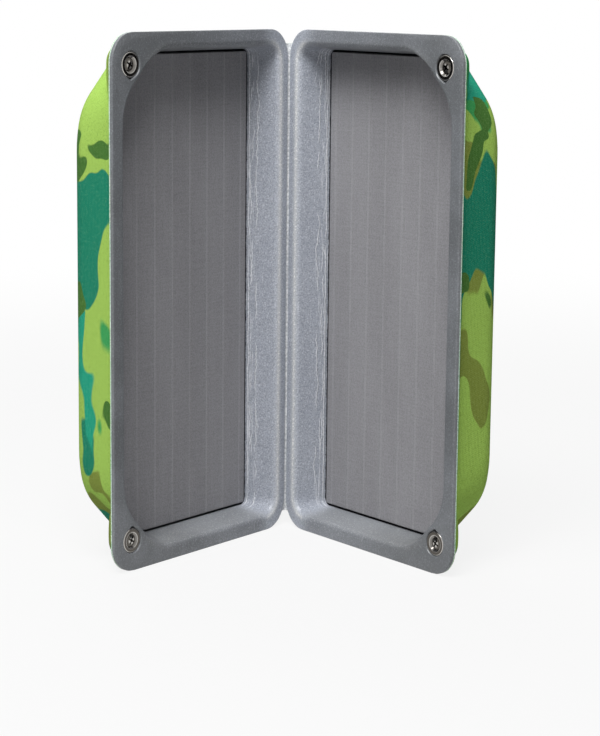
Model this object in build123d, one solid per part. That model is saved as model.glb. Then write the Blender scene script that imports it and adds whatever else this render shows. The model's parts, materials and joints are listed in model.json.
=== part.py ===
from build123d import *
import os
from math import cos, radians, sin, sqrt, tan

# A fly box: two equal foam half shells, covered outside in knit and joined along one long side by a
# living hinge. It stands on its lower end like an open book, with the hinge upright and the open side
# towards -Y. Sizes are in millimetres. Each half is modelled lying down in its own frame:
#   X runs across the half, from the hinge's axis to the outer edge
#   Y runs along the half, parallel to the hinge
#   Z is depth, from the plane through the hinge's axis towards the back of the half

# Overall sizes
LENGTH = 203.0            # along the hinge
WIDTH = 104.0             # from the hinge's axis to the outer edge of one half
HALF_DEPTH = 25.4         # from the flange's face to the back of one half
OPEN_ANGLE = 75.1         # between the two flanges' faces as the box stands
FACE_GAP = 0.3            # between the two flanges' faces when the box is shut

# Layers of the moulding
FABRIC = 0.7              # thickness of the knit cover
FLANGE_FOAM = 1.3         # foam of the flange, pressed thin
CORNER_RADIUS = 11.0      # flange's corners in plan

# Outside of the body where it leaves the flange, as distances in from the flange's edges
BODY_HINGE = 2.6
BODY_OUTER = 1.9
BODY_END = 3.0
BODY_CORNER = 19.0        # from the flange's square corner to the cut across the body's outer corner
BODY_CORNER_RADIUS = 21.0 # in plan, at both ends of the cut
BODY_HINGE_RADIUS = 10.0
FOOT_RADIUS = 1.0         # where the body rises from the flange

# Outside of the body at its back, in the same way
BACK_HINGE = 5.9
BACK_OUTER = 3.7
BACK_END = 4.8
BACK_CORNER = 25.0
BACK_CORNER_RADIUS = 30.0
BACK_RADIUS = 8.0         # round the edge of the back

# Lobes over the magnets, at the flange's two outer corners
LOBE_INSET = 2.0          # flange left bare outside the lobe
LOBE_LEG = 33.0           # along each side of the corner
LOBE_REACH = 25.0         # in from both sides of the corner, inside the body
LOBE_HEIGHT = 9.2         # from the flange's face
LOBE_DRAFT = 30.0         # degrees
LOBE_TOP_RADIUS = 3.8     # round the lobe's top edge
LOBE_TIP_RADIUS = 8.0     # in plan, where each side of the lobe ends

# Cavity: a rounded lip, a drafted wall, then a straight pocket for the panel
LIP_HINGE = 2.2           # in from the flange's hinge-side edge to the start of the lip
LIP_OUTER = 4.9
LIP_END = 2.6
LIP_RADIUS = 4.0          # round the lip at the ends and the hinge side
LIP_OUTER_RADIUS = 1.2    # round the lip at the outer side
LIP_CORNER = 21.2         # from the flange's square corner to the cut across the lip's outer corner
LIP_CORNER_RADIUS = 24.0
LIP_HINGE_CORNER = 8.0    # radius of the lip's hinge-side corners in plan
LIP_STEPS = 4
POCKET_HINGE = 7.9
POCKET_OUTER = 7.0
POCKET_END = 8.1
POCKET_CORNER = 27.0
POCKET_CORNER_RADIUS = 10.0
POCKET_HINGE_RADIUS = 3.0

# Slit panel and the adhesive sheet under it
PANEL_DEPTH = 14.2        # from the flange's face to the panel's face
PANEL_THICKNESS = 5.5
PANEL_GAP = 0.9           # between the panel and the pocket's wall
PANEL_HINGE_RADIUS = 1.0
ADHESIVE = 0.25
ADHESIVE_INSET = 1.0      # in from the panel's edge
SLIT_PITCH = 10.4
SLIT_FIRST = 3.6          # from the panel's hinge-side edge to the first slit
SLIT_WIDTH = 0.35
SLIT_DEPTH = 4.0
SLIT_END = 2.0            # left uncut at each end of the panel

# Ring magnets, screws and anchors
MAGNET_FROM_OUTER = 10.2
MAGNET_FROM_END = 11.8
MAGNET_DIAMETER = 9.5
MAGNET_THICKNESS = 3.2
MAGNET_RECESS = 0.3       # below the flange's face
MAGNET_BORE = 3.4
MAGNET_EDGE = 0.35        # bevel round the magnet's face
POCKET_CLEARANCE = 0.15   # round the magnet and the anchor
NOTCH_RADIUS = 1.0        # finger of the magnet's pocket, towards the middle of the half
SCREW_HEAD = 5.4
SCREW_HEAD_ANGLE = 90.0
SCREW_SHANK = 2.6
SCREW_LENGTH = 5.6
SCREW_RECESS = 0.25       # screw's head below the magnet's face
SCREW_CLEARANCE = 0.08
CROSS_LENGTH = 2.9
CROSS_WIDTH = 0.6
CROSS_DEPTH = 0.7
ANCHOR_FLANGE = 8.4
ANCHOR_FLANGE_THICKNESS = 1.0
ANCHOR_BARREL = 5.2
ANCHOR_LENGTH = 3.6

# Living hinge
HINGE_EDGE = 0.4          # from the hinge's axis to each flange's hinge-side edge
HINGE_FOAM = 0.5          # foam film, pressed to this thickness
HINGE_END = 5.8           # from each end of the box to the end of the hinge's strip
HINGE_CLEARANCE = 0.1     # between the strip and each flange's edge

# Worked out from the sizes above
FACE = FACE_GAP / 2
BACK = FACE + HALF_DEPTH
FABRIC_FACE = FACE + FLANGE_FOAM
PANEL_FACE = FACE + PANEL_DEPTH
PANEL_BASE = PANEL_FACE + PANEL_THICKNESS
POCKET_FLOOR = PANEL_BASE + ADHESIVE
MAGNET_FACE = FACE + MAGNET_RECESS
MAGNET_SEAT = MAGNET_FACE + MAGNET_THICKNESS
HALF_ANGLE = OPEN_ANGLE / 2
MIDDLE = Plane.XZ.offset(-LENGTH / 2)
STANDING = (Align.CENTER, Align.CENTER, Align.MIN)


def plate(hinge, outer, end, hinge_radius):
    """Rectangle, rounded at the hinge, given by its distances in from the flange's edges."""
    low = HINGE_EDGE + hinge
    high = WIDTH - outer
    shape = Pos((low + high) / 2, LENGTH / 2) * Rectangle(high - low, LENGTH - 2 * end)
    return fillet(shape.vertices().sort_by(Axis.X)[:2], hinge_radius)


def outline(hinge, outer, end, hinge_radius, corner, corner_radius, depth):
    """Outline of the body, the lip or the pocket at this depth. Its outer corners are cut across, this far
    from the flange's square corner, and the cut's ends are rounded."""
    shape = plate(hinge, outer, end, hinge_radius)
    shape = chamfer(shape.vertices().sort_by(Axis.X)[-2:], sqrt(2) * corner - outer - end)
    shape = fillet(shape.vertices().sort_by(Axis.X)[-4:], corner_radius)
    return Pos(0, 0, depth) * shape


def both_ends(shape):
    """The shape at the lower end of a half, and its mirror image at the upper end."""
    return shape + mirror(shape, about=MIDDLE)


def flange(inset):
    """Flange plate: foam alone where inset is the cover's thickness, foam and cover where it is 0."""
    shape = plate(0, 0, 0, CORNER_RADIUS)
    shape = fillet(shape.vertices().sort_by(Axis.X)[-2:], CORNER_RADIUS)
    return extrude(Pos(0, 0, FACE) * shape, amount=FLANGE_FOAM + FABRIC - inset)


def body(inset):
    """Body behind the flange, drafted, rounded at its back and filleted where it leaves the flange."""
    foot = FABRIC_FACE + FABRIC - inset
    back = BACK - inset
    low = body_outline(BODY_HINGE, BODY_OUTER, BODY_END, BODY_CORNER, BODY_CORNER_RADIUS, inset, foot)
    high = body_outline(BACK_HINGE, BACK_OUTER, BACK_END, BACK_CORNER, BACK_CORNER_RADIUS, inset, back)
    solid = loft([low, high], ruled=True)
    solid = fillet(solid.faces().sort_by(Axis.Z)[-1].edges(), BACK_RADIUS - inset)
    solid = solid + flange(inset)
    foot_edges = solid.edges().filter_by(lambda edge: is_foot(edge, foot))
    return fillet(foot_edges, FOOT_RADIUS + inset)


def body_outline(hinge, outer, end, corner, radius, inset, depth):
    """Body's outline at this depth, this far inside the cover's outside."""
    hinge, outer, end, corner = (edge + inset for edge in (hinge, outer, end, corner))
    return outline(hinge, outer, end, BODY_HINGE_RADIUS - inset, corner, radius - inset, depth)


def is_foot(edge, depth):
    """Whether an edge lies in the flange's back and inside the flange's own outline."""
    box = edge.bounding_box()
    if abs(box.min.Z - depth) > 0.01 or abs(box.max.Z - depth) > 0.01:
        return False
    inside_length = box.min.Y > BODY_END / 2 and box.max.Y < LENGTH - BODY_END / 2
    return inside_length and box.max.X < WIDTH - BODY_OUTER / 2 and box.min.X > HINGE_EDGE + BODY_HINGE / 2


def lobe(inset):
    """Lobe over the lower outer corner's magnet, with its inner side inside the body."""
    edge = LOBE_INSET + inset
    leg = LOBE_LEG - 2 * inset
    reach = LOBE_REACH - 2 * inset
    corner = (WIDTH - edge, edge)
    along = (corner[0], edge + leg)
    across = (corner[0] - leg, edge)
    inside = (corner[0] - reach, edge + reach)
    shape = make_face(Polyline(corner, along, inside, across, close=True))
    shape = fillet(shape.vertices().sort_by_distance(corner)[0], CORNER_RADIUS - edge)
    shape = fillet(shape.vertices().sort_by_distance(inside)[:3], LOBE_TIP_RADIUS - inset)
    base = FACE + FLANGE_FOAM / 2
    solid = extrude(Pos(0, 0, base) * shape, amount=LOBE_HEIGHT + FACE - inset - base, taper=LOBE_DRAFT)
    return fillet(solid.faces().sort_by(Axis.Z)[-1].edges(), LOBE_TOP_RADIUS - inset)


def form(inset):
    """Outside of a half: the cover's outside at 0, or the foam's outside at the cover's thickness."""
    return body(inset) + both_ends(lobe(inset))


def lip_inset(depth, start, radius, reach):
    """How far in a wall is at this depth below the flange: round a lip, then straight to the pocket."""
    if depth < radius:
        return start + sqrt(radius**2 - (radius - depth) ** 2)
    share = (depth - radius) / (PANEL_DEPTH - radius)
    return start + radius + share * (reach - start - radius)


def cavity_section(depth):
    """Cavity's outline at this depth below the flange's face."""
    outer = lip_inset(depth, LIP_OUTER, LIP_OUTER_RADIUS, POCKET_OUTER)
    end = lip_inset(depth, LIP_END, LIP_RADIUS, POCKET_END)
    hinge = lip_inset(depth, LIP_HINGE, LIP_RADIUS, POCKET_HINGE)
    corner = lip_inset(depth, LIP_CORNER, LIP_OUTER_RADIUS, POCKET_CORNER)
    share = depth / PANEL_DEPTH
    hinge_radius = LIP_HINGE_CORNER + share * (POCKET_HINGE_RADIUS - LIP_HINGE_CORNER)
    radius = LIP_CORNER_RADIUS + share * (POCKET_CORNER_RADIUS - LIP_CORNER_RADIUS)
    return outline(hinge, outer, end, hinge_radius, corner, radius, FACE + depth)


def cavity():
    """Space inside a half: the mouth's rounded lip, the drafted wall and the panel's straight pocket."""
    turns = [step / LIP_STEPS * 90 for step in range(LIP_STEPS + 1)]
    depths = [LIP_RADIUS * (1 - cos(radians(turn))) for turn in turns]
    sections = [cavity_section(depth) for depth in [*depths, PANEL_DEPTH]]
    mouth = loft(sections, ruled=True)
    pocket = extrude(sections[-1], amount=POCKET_FLOOR - PANEL_FACE)
    return mouth + pocket


def magnet_pocket():
    """Recess for the lower magnet, with a finger notch towards the middle of the half."""
    radius = MAGNET_DIAMETER / 2 + POCKET_CLEARANCE
    place = Pos(WIDTH - MAGNET_FROM_OUTER, MAGNET_FROM_END, FACE)
    depth = MAGNET_SEAT - FACE
    seat = extrude(Circle(radius) + Pos(0, radius) * Circle(NOTCH_RADIUS), amount=depth)
    return place * seat


def anchor_pocket():
    """Recess for the lower anchor, straight behind its magnet."""
    barrel = Cylinder(ANCHOR_BARREL / 2 + POCKET_CLEARANCE, ANCHOR_LENGTH, align=STANDING)
    plate = Cylinder(ANCHOR_FLANGE / 2 + POCKET_CLEARANCE, ANCHOR_FLANGE_THICKNESS, align=STANDING)
    return Pos(WIDTH - MAGNET_FROM_OUTER, MAGNET_FROM_END, MAGNET_SEAT) * (barrel + plate)


def shell():
    """Moulded foam of one half."""
    return form(FABRIC) - cavity() - both_ends(magnet_pocket() + anchor_pocket())


def cover():
    """Knit laminated on the outside of one half, cut flush with the flange's edge."""
    return form(0) - form(FABRIC)


def panel_outline(inset, depth):
    """Panel's outline at this depth, or one that lies this far inside it."""
    gap = PANEL_GAP + inset
    edges = (POCKET_HINGE, POCKET_OUTER, POCKET_END, POCKET_CORNER)
    hinge, outer, end, corner = (edge + gap for edge in edges)
    return outline(hinge, outer, end, PANEL_HINGE_RADIUS, corner, POCKET_CORNER_RADIUS - gap, depth)


def slits():
    """Cuts along the panel's face that hold the flies' hooks."""
    first = HINGE_EDGE + POCKET_HINGE + PANEL_GAP + SLIT_FIRST
    last = WIDTH - POCKET_OUTER - PANEL_GAP - SLIT_WIDTH
    count = int((last - first) / SLIT_PITCH) + 1
    reach = LENGTH - 2 * (POCKET_END + PANEL_GAP + SLIT_END)
    cut = Box(SLIT_WIDTH, reach, 2 * SLIT_DEPTH)
    rows = [Pos(first + row * SLIT_PITCH, LENGTH / 2, PANEL_FACE) * cut for row in range(count)]
    return Part() + rows


def panel():
    """Slit foam panel."""
    sheet = extrude(panel_outline(0, PANEL_FACE), amount=PANEL_THICKNESS)
    return sheet - slits()


def adhesive():
    """Adhesive sheet between the panel and the pocket's floor."""
    return extrude(panel_outline(ADHESIVE_INSET, PANEL_BASE), amount=ADHESIVE)


def screw_head_height():
    """Height of the screw's cone, from its full diameter down to the shank."""
    return (SCREW_HEAD - SCREW_SHANK) / 2 / tan(radians(SCREW_HEAD_ANGLE / 2))


def magnet():
    """Countersunk ring magnet, its face at depth 0."""
    ring = Cylinder(MAGNET_DIAMETER / 2, MAGNET_THICKNESS, align=STANDING)
    ring = chamfer(ring.edges(), MAGNET_EDGE)
    bore = Cylinder(MAGNET_BORE / 2, MAGNET_THICKNESS, align=STANDING)
    top = SCREW_HEAD / 2 + SCREW_CLEARANCE + SCREW_RECESS
    cone = Cone(top, 0, top / tan(radians(SCREW_HEAD_ANGLE / 2)), align=STANDING)
    return ring - bore - cone


def screw():
    """Countersunk cross-recess screw, its head at depth 0."""
    head = Cone(SCREW_HEAD / 2, SCREW_SHANK / 2, screw_head_height(), align=STANDING)
    shank = Cylinder(SCREW_SHANK / 2, SCREW_LENGTH, align=STANDING)
    slot = Box(CROSS_LENGTH, CROSS_WIDTH, 2 * CROSS_DEPTH)
    return head + shank - slot - Rot(0, 0, 90) * slot


def anchor():
    """Flanged insert that the screw bites into, its flange at depth 0."""
    plate = Cylinder(ANCHOR_FLANGE / 2, ANCHOR_FLANGE_THICKNESS, align=STANDING)
    barrel = Cylinder(ANCHOR_BARREL / 2, ANCHOR_LENGTH, align=STANDING)
    bore = Cylinder(SCREW_SHANK / 2 + SCREW_CLEARANCE, ANCHOR_LENGTH, align=STANDING)
    return plate + barrel - bore


def hinge_strip(inner, outer):
    """Strip behind the hinge's axis between two radii, with a leaf to each flange's edge."""
    reach = HINGE_EDGE - HINGE_CLEARANCE
    turn = 90 - HALF_ANGLE
    bend = Circle(outer) - Circle(inner)
    wedge = make_face(
        Polyline(
            (0, 0),
            (-2 * outer * sin(radians(turn)), 2 * outer * cos(radians(turn))),
            (0, 2 * outer / cos(radians(turn))),
            (2 * outer * sin(radians(turn)), 2 * outer * cos(radians(turn))),
            close=True,
        )
    )
    leaf = Rectangle(reach, outer - inner, align=(Align.MIN, Align.MIN))
    right = Rot(0, 0, HALF_ANGLE - 90) * Pos(0, inner) * leaf
    section = (bend & wedge) + right + mirror(right, about=Plane.YZ)
    return Pos(0, 0, HINGE_END) * extrude(section, amount=LENGTH - 2 * HINGE_END)


def hinge_pieces():
    """Fabric strip of the living hinge and the foam film inside it, about the hinge's axis."""
    middle = FABRIC_FACE
    return {
        "hinge_fabric": hinge_strip(middle, middle + FABRIC),
        "hinge_foam": hinge_strip(middle - HINGE_FOAM, middle),
    }


def hardware():
    """Magnet, screw and anchor of a corner, each with its depth in the half."""
    return {
        "magnet": Pos(0, 0, MAGNET_FACE) * magnet(),
        "screw": Pos(0, 0, MAGNET_FACE + SCREW_RECESS) * screw(),
        "anchor": Pos(0, 0, MAGNET_SEAT) * anchor(),
    }


def half_pieces(side, place):
    """Every piece of one half, placed about the hinge's axis."""
    pieces = {"shell": shell(), "cover": cover(), "panel": panel(), "adhesive": adhesive()}
    ends = {"left": ("lower", "upper"), "right": ("upper", "lower")}[side]
    rows = dict(zip(ends, (MAGNET_FROM_END, LENGTH - MAGNET_FROM_END)))
    for end, row in rows.items():
        for name, piece in hardware().items():
            pieces[f"{end}_{name}"] = Pos(WIDTH - MAGNET_FROM_OUTER, row) * piece
    return {f"{side}_{name}": place * piece for name, piece in pieces.items()}


def box_pieces():
    """Every piece of the box, with the hinge's axis on Z."""
    lean = radians(HALF_ANGLE)
    left = Plane(origin=(0, 0, 0), x_dir=(-sin(lean), -cos(lean), 0), z_dir=(-cos(lean), sin(lean), 0))
    right = Plane(origin=(0, 0, LENGTH), x_dir=(sin(lean), -cos(lean), 0), z_dir=(cos(lean), sin(lean), 0))
    return {
        **half_pieces("left", left.location),
        **half_pieces("right", right.location),
        **hinge_pieces(),
    }


def main():
    """Stand the box with its origin under the middle of its footprint, and write one file per piece."""
    pieces = box_pieces()
    boxes = [piece.bounding_box() for piece in pieces.values()]
    hinge_y = -(min(box.min.Y for box in boxes) + max(box.max.Y for box in boxes)) / 2
    os.makedirs("parts", exist_ok=True)
    for name, piece in pieces.items():
        export_step(Pos(0, hinge_y, 0) * piece, f"parts/{name}.step")
    print("hinge axis at y", round(hinge_y, 4))


main()
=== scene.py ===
"""Looks of a soft clam-shell fly box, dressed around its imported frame.

A half is modelled in its own frame, in millimetres: X runs from the hinge's axis to the outer edge, Y
along the hinge, and Z is depth, from the plane through the axis towards the back. A placement then stands
each half in the scene, in metres.
"""

import json
import logging
from collections.abc import Callable, Sequence
from dataclasses import dataclass, replace
from enum import Enum
from math import cos, exp, pi, radians, sin, sqrt, tan

import bmesh
import bpy
import numpy as np
from mathutils import Matrix, Vector


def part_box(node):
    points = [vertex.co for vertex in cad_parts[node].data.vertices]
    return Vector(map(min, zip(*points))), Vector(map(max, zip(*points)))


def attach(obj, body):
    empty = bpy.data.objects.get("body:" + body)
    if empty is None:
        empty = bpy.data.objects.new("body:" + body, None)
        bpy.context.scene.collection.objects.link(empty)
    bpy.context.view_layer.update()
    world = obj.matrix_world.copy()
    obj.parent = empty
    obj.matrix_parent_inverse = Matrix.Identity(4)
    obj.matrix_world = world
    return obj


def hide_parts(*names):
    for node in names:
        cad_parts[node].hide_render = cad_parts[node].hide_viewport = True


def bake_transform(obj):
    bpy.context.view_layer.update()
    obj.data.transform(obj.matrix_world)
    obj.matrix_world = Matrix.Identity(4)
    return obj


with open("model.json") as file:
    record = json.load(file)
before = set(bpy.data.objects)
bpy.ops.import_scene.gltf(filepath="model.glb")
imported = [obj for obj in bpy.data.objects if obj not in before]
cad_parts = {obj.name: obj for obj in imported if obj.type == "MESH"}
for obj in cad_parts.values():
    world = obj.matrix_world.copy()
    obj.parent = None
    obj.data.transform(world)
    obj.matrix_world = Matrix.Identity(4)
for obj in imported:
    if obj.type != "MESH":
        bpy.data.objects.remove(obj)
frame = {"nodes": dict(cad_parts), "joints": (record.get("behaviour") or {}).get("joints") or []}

log = logging.getLogger("fly_box")

ROOT_TWO = sqrt(2)
MM = 0.001  # a millimetre, in metres
TINY = 1e-6  # least length that something is divided by
CLOSE = 1e-3  # least length that makes a difference, in millimetres
ON_PLANE = 1e-5  # distance within which a point lies on a cutting plane, in millimetres
MERGED = 1e-4  # distance within which two points become one, in millimetres
SEARCH = 45.0  # how far a column is followed to find an outline, in millimetres
HALVINGS = 40  # how often that search is halved
MOST_OF_STRAIGHT = 0.48  # most of a profile's straight that the bend at one end may take
SHARP = 40.0  # angle past which an edge is shaded sharp, in degrees


class Side(Enum):
    """Half of the box, by the side that it lies on."""

    LEFT = "left"
    RIGHT = "right"

    @property
    def way(self) -> int:
        """Way along the scene's X from the hinge to the half."""
        return -1 if self is Side.LEFT else 1


class End(Enum):
    """End of the box along the hinge."""

    LOWER = "lower"
    UPPER = "upper"


CREASES_AT = {Side.LEFT: 0.0, Side.RIGHT: 0.5}  # where each half lies on the pattern of creases, in metres
PRINT_AT = {Side.LEFT: 1.3, Side.RIGHT: 0.4}  # where each half lies on the printed cloth, in metres


# --------------------------------------------------------------------------------------------------------
# Where the frame puts things


@dataclass(frozen=True)
class Placement:
    """Where a half stands.

    Args:
        side: Half that is placed.
        hinge: Point of the hinge's axis on the surface that the box stands on, in metres.
        lean: Angle between the half and the plane between the halves, in radians.
        length: Length of the box along the hinge, in millimetres.
    """

    side: Side
    hinge: Vector
    lean: float
    length: float

    @property
    def across(self) -> Vector:
        """Direction from the hinge to the outer edge."""
        return Vector((self.side.way * sin(self.lean), -cos(self.lean), 0))

    @property
    def inward(self) -> Vector:
        """Direction of depth, from the flange's face to the back."""
        return Vector((self.side.way * cos(self.lean), sin(self.lean), 0))

    def matrix(self) -> Matrix:
        """Places the half in the scene.

        Returns:
            Matrix from the half's own frame, in millimetres, to the scene, in metres.
        """
        along = self.inward.cross(self.across)
        base = self.hinge + (Vector() if along.z > 0 else Vector((0, 0, self.length * MM)))
        turn = Matrix((self.across, along, self.inward)).transposed().to_4x4()
        return Matrix.Translation(base) @ turn @ Matrix.Scale(MM, 4)

    def reach(self, node: str, direction: Vector) -> tuple[float, float]:
        """Measures a CAD node from the hinge.

        Args:
            node: Name of the node.
            direction: Direction to measure along.

        Returns:
            Its nearest and its farthest reach, in millimetres.
        """
        spans = [(vertex.co - self.hinge) @ direction for vertex in frame["nodes"][node].data.vertices]
        return min(spans) / MM, max(spans) / MM


def placements() -> dict[Side, Placement]:
    """Reads both halves' places from the frame's joint.

    Returns:
        The placement of each half.
    """
    joint = frame["joints"][0]
    lean = radians(-joint["range_deg"][0]) / 2
    low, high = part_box("left_shell")
    length = (high.z - low.z) / MM
    return {side: Placement(side, Vector(joint["pos_m"]), lean, length) for side in Side}


# --------------------------------------------------------------------------------------------------------
# Outlines and profiles


@dataclass(frozen=True)
class Plate:
    """Flange's edges in its own plane.

    Args:
        near: From the hinge's axis to the hinge-side edge.
        far: From the hinge's axis to the outer edge.
        length: Along the hinge.
    """

    near: float
    far: float
    length: float


@dataclass(frozen=True)
class Outline:
    """Rectangle with rounded corners by the hinge and cut outer corners, placed from the flange's edges.

    Args:
        plate: Flange's edges.
        hinge: In from the hinge-side edge.
        outer: In from the outer edge.
        end: In from each end.
        corner: From the flange's square corner to the cut across the outline's outer corner.
        hinge_radius: Radius of the two corners by the hinge.
        corner_radius: Radius at both ends of each cut.
    """

    plate: Plate
    hinge: float
    outer: float
    end: float
    corner: float
    hinge_radius: float
    corner_radius: float

    @property
    def leg(self) -> float:
        """How far the cut's rounded ends lie from where the corner's own rounding would be."""
        inner = self.corner_radius * (ROOT_TWO - 1)
        return max(ROOT_TWO * (self.corner - inner) - self.outer - self.end, CLOSE)

    def distance(self, points: np.ndarray) -> np.ndarray:
        """Measures how far points are outside the outline.

        Args:
            points: Points in the plane, one row each.

        Returns:
            Distance of each, negative inside.
        """
        low = self.plate.near + self.hinge
        high = self.plate.far - self.outer
        half = np.array([(high - low) / 2, self.plate.length / 2 - self.end])
        offset = points - np.array([(high + low) / 2, self.plate.length / 2])
        by_hinge = np.abs(offset) - half + self.hinge_radius
        near = np.hypot(*np.maximum(by_hinge, 0).T) + np.minimum(by_hinge.max(axis=1), 0)
        folded = np.column_stack([offset[:, 0], np.abs(offset[:, 1])])
        across, along = (folded - half + self.corner_radius).T
        leg = self.leg
        inside = np.maximum.reduce([across, along, (across + along + leg) / ROOT_TWO])
        share = np.clip((along - across + leg) / (2 * leg), 0, 1) * leg
        outside = np.minimum.reduce(
            [
                np.hypot(across, along - np.minimum(along, -leg)),
                np.hypot(across - np.minimum(across, -leg), along),
                np.hypot(across + share, along + leg - share),
            ]
        )
        far = np.where(inside < 0, inside, outside) - self.corner_radius
        return np.where(offset[:, 0] > 0, far, near - self.hinge_radius)


@dataclass(frozen=True)
class Counts:
    """Columns round each stretch of an outline.

    Args:
        cut_arc: Round each end of an outer corner's cut.
        cut: Along an outer corner's cut.
        hinge_arc: Round each corner by the hinge.
        long_side: Along the hinge and along the outer edge.
        short_side: Along each end.
    """

    cut_arc: int = 14
    cut: int = 20
    hinge_arc: int = 14
    long_side: int = 44
    short_side: int = 20


class Columns:
    """Lines that cross an outline squarely, in order round it. Every ring has one point on each."""

    def __init__(self, outline: Outline, counts: Counts) -> None:
        """Lays the lines out.

        Args:
            outline: Outline that the lines cross.
            counts: Number of lines round each stretch.
        """
        plate, leg, radius = outline.plate, outline.leg, outline.corner_radius
        far, near = plate.far - outline.outer - radius, plate.near + outline.hinge + outline.hinge_radius
        low, high = outline.end + radius, plate.length - outline.end - radius
        base, top = outline.end + outline.hinge_radius, plate.length - outline.end - outline.hinge_radius
        turns = (
            ((far - leg, low), -90, -45, radius, counts.cut_arc, counts.cut),
            ((far, low + leg), -45, 0, radius, counts.cut_arc, counts.long_side),
            ((far, high - leg), 0, 45, radius, counts.cut_arc, counts.cut),
            ((far - leg, high), 45, 90, radius, counts.cut_arc, counts.short_side),
            ((near, top), 90, 180, outline.hinge_radius, counts.hinge_arc, counts.long_side),
            ((near, base), 180, 270, outline.hinge_radius, counts.hinge_arc, counts.short_side),
        )
        arcs = []
        for centre, start, end, size, steps, _ in turns:
            angles = np.radians(np.linspace(start, end, steps + 1))
            facing = np.column_stack([np.cos(angles), np.sin(angles)])
            arcs.append((np.array(centre) + size * facing, facing))
        points, normals = [], []
        for (arc, facing), (following, _), (*_, steps) in zip(arcs, arcs[1:] + arcs[:1], turns):
            shares = np.linspace(0, 1, steps + 1)[1:-1, None]
            points += [arc, arc[-1] * (1 - shares) + following[0] * shares]
            normals += [facing, np.repeat(facing[-1:], len(shares), axis=0)]
        self.origins = np.concatenate(points)
        self.normals = np.concatenate(normals)

    def meet(self, outline: Outline, inset: float | np.ndarray = 0.0) -> np.ndarray:
        """Finds where the lines cross another outline, or a line inside it.

        Args:
            outline: Outline to cross.
            inset: How far inside the outline to cross, once or for every line.

        Returns:
            A point on each line.
        """
        low = np.full(len(self.origins), -SEARCH)
        high = np.full(len(self.origins), SEARCH)
        for _ in range(HALVINGS):
            middle = (low + high) / 2
            inside = outline.distance(self.origins + middle[:, None] * self.normals) < -inset
            low = np.where(inside, middle, low)
            high = np.where(inside, high, middle)
        return self.origins + low[:, None] * self.normals


def at_depth(points: np.ndarray, depth: float | np.ndarray) -> np.ndarray:
    """Points of the plane, set at this depth."""
    return np.column_stack([points, np.broadcast_to(depth, len(points))])


@dataclass
class Bend:
    """Bend of a profile, with a point for every column.

    Args:
        points: Where the two straights would meet.
        radius: How round the bend is.
        rings: Rings round the bend, or 0 where it is sharp.
        lead: Rings on the straight that leads to it.
        stop: How much of that straight is made, where the profile ends on its way here.
    """

    points: np.ndarray
    radius: float | np.ndarray = 0.0
    rings: int = 0
    lead: int = 0
    stop: float = 1.0


def bend_rings(before: np.ndarray, bend: Bend, after: np.ndarray) -> list[np.ndarray]:
    """Rounds one bend of a profile by a circular arc.

    Args:
        before: Points that the profile comes from.
        bend: The bend.
        after: Points that the profile goes on to.

    Returns:
        Rings of points round the bend.
    """
    if not bend.rings:
        return [bend.points]
    back, ahead = before - bend.points, after - bend.points
    reach_back = np.maximum(np.linalg.norm(back, axis=1), TINY)
    reach_ahead = np.maximum(np.linalg.norm(ahead, axis=1), TINY)
    back /= reach_back[:, None]
    ahead /= reach_ahead[:, None]
    half_turn = (pi - np.arccos(np.clip((back * ahead).sum(axis=1), -1, 1))) / 2
    most = MOST_OF_STRAIGHT * np.minimum(reach_back, reach_ahead)
    tangent = np.minimum(bend.radius * np.tan(half_turn), most)
    start = bend.points + back * tangent[:, None]
    end = bend.points + ahead * tangent[:, None]
    weight = np.cos(half_turn)[:, None]
    rings = []
    for share in np.linspace(0, 1, bend.rings + 1):
        first, middle, last = (1 - share) ** 2, 2 * weight * share * (1 - share), share**2
        total = first + middle + last
        rings.append((start * first + bend.points * middle + end * last) / total)
    return rings


def profile_rings(bends: list[Bend]) -> list[np.ndarray]:
    """Rings of a surface that follows the bends of a profile.

    Args:
        bends: Bends in order. The first and the last are the profile's ends.

    Returns:
        Rings of points.
    """
    rings = [bends[0].points]
    for before, bend, after in zip(bends, bends[1:], [*bends[2:], None]):
        last = rings[-1]
        if after is None:
            found = [last + bend.stop * (bend.points - last)]
        else:
            found = bend_rings(before.points, bend, after.points)
        shares = np.linspace(0, 1, bend.lead + 2)[1:-1]
        rings += [last + share * (found[0] - last) for share in shares] + found
    return rings


def smooth_step(low: float, high: float, values: float | np.ndarray) -> float | np.ndarray:
    """Rises smoothly from 0 at low to 1 at high."""
    share = np.clip((values - low) / (high - low), 0, 1)
    return share * share * (3 - 2 * share)


def levelled(values: np.ndarray) -> np.ndarray:
    """Follows small values, and levels off softly at 1 for large ones."""
    return values / (1 + values**4) ** 0.25


def hump(value: float, middle: float, width: float) -> float:
    """Bell curve of height 1."""
    return exp(-(((value - middle) / width) ** 2))


# --------------------------------------------------------------------------------------------------------
# Meshes


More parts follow.
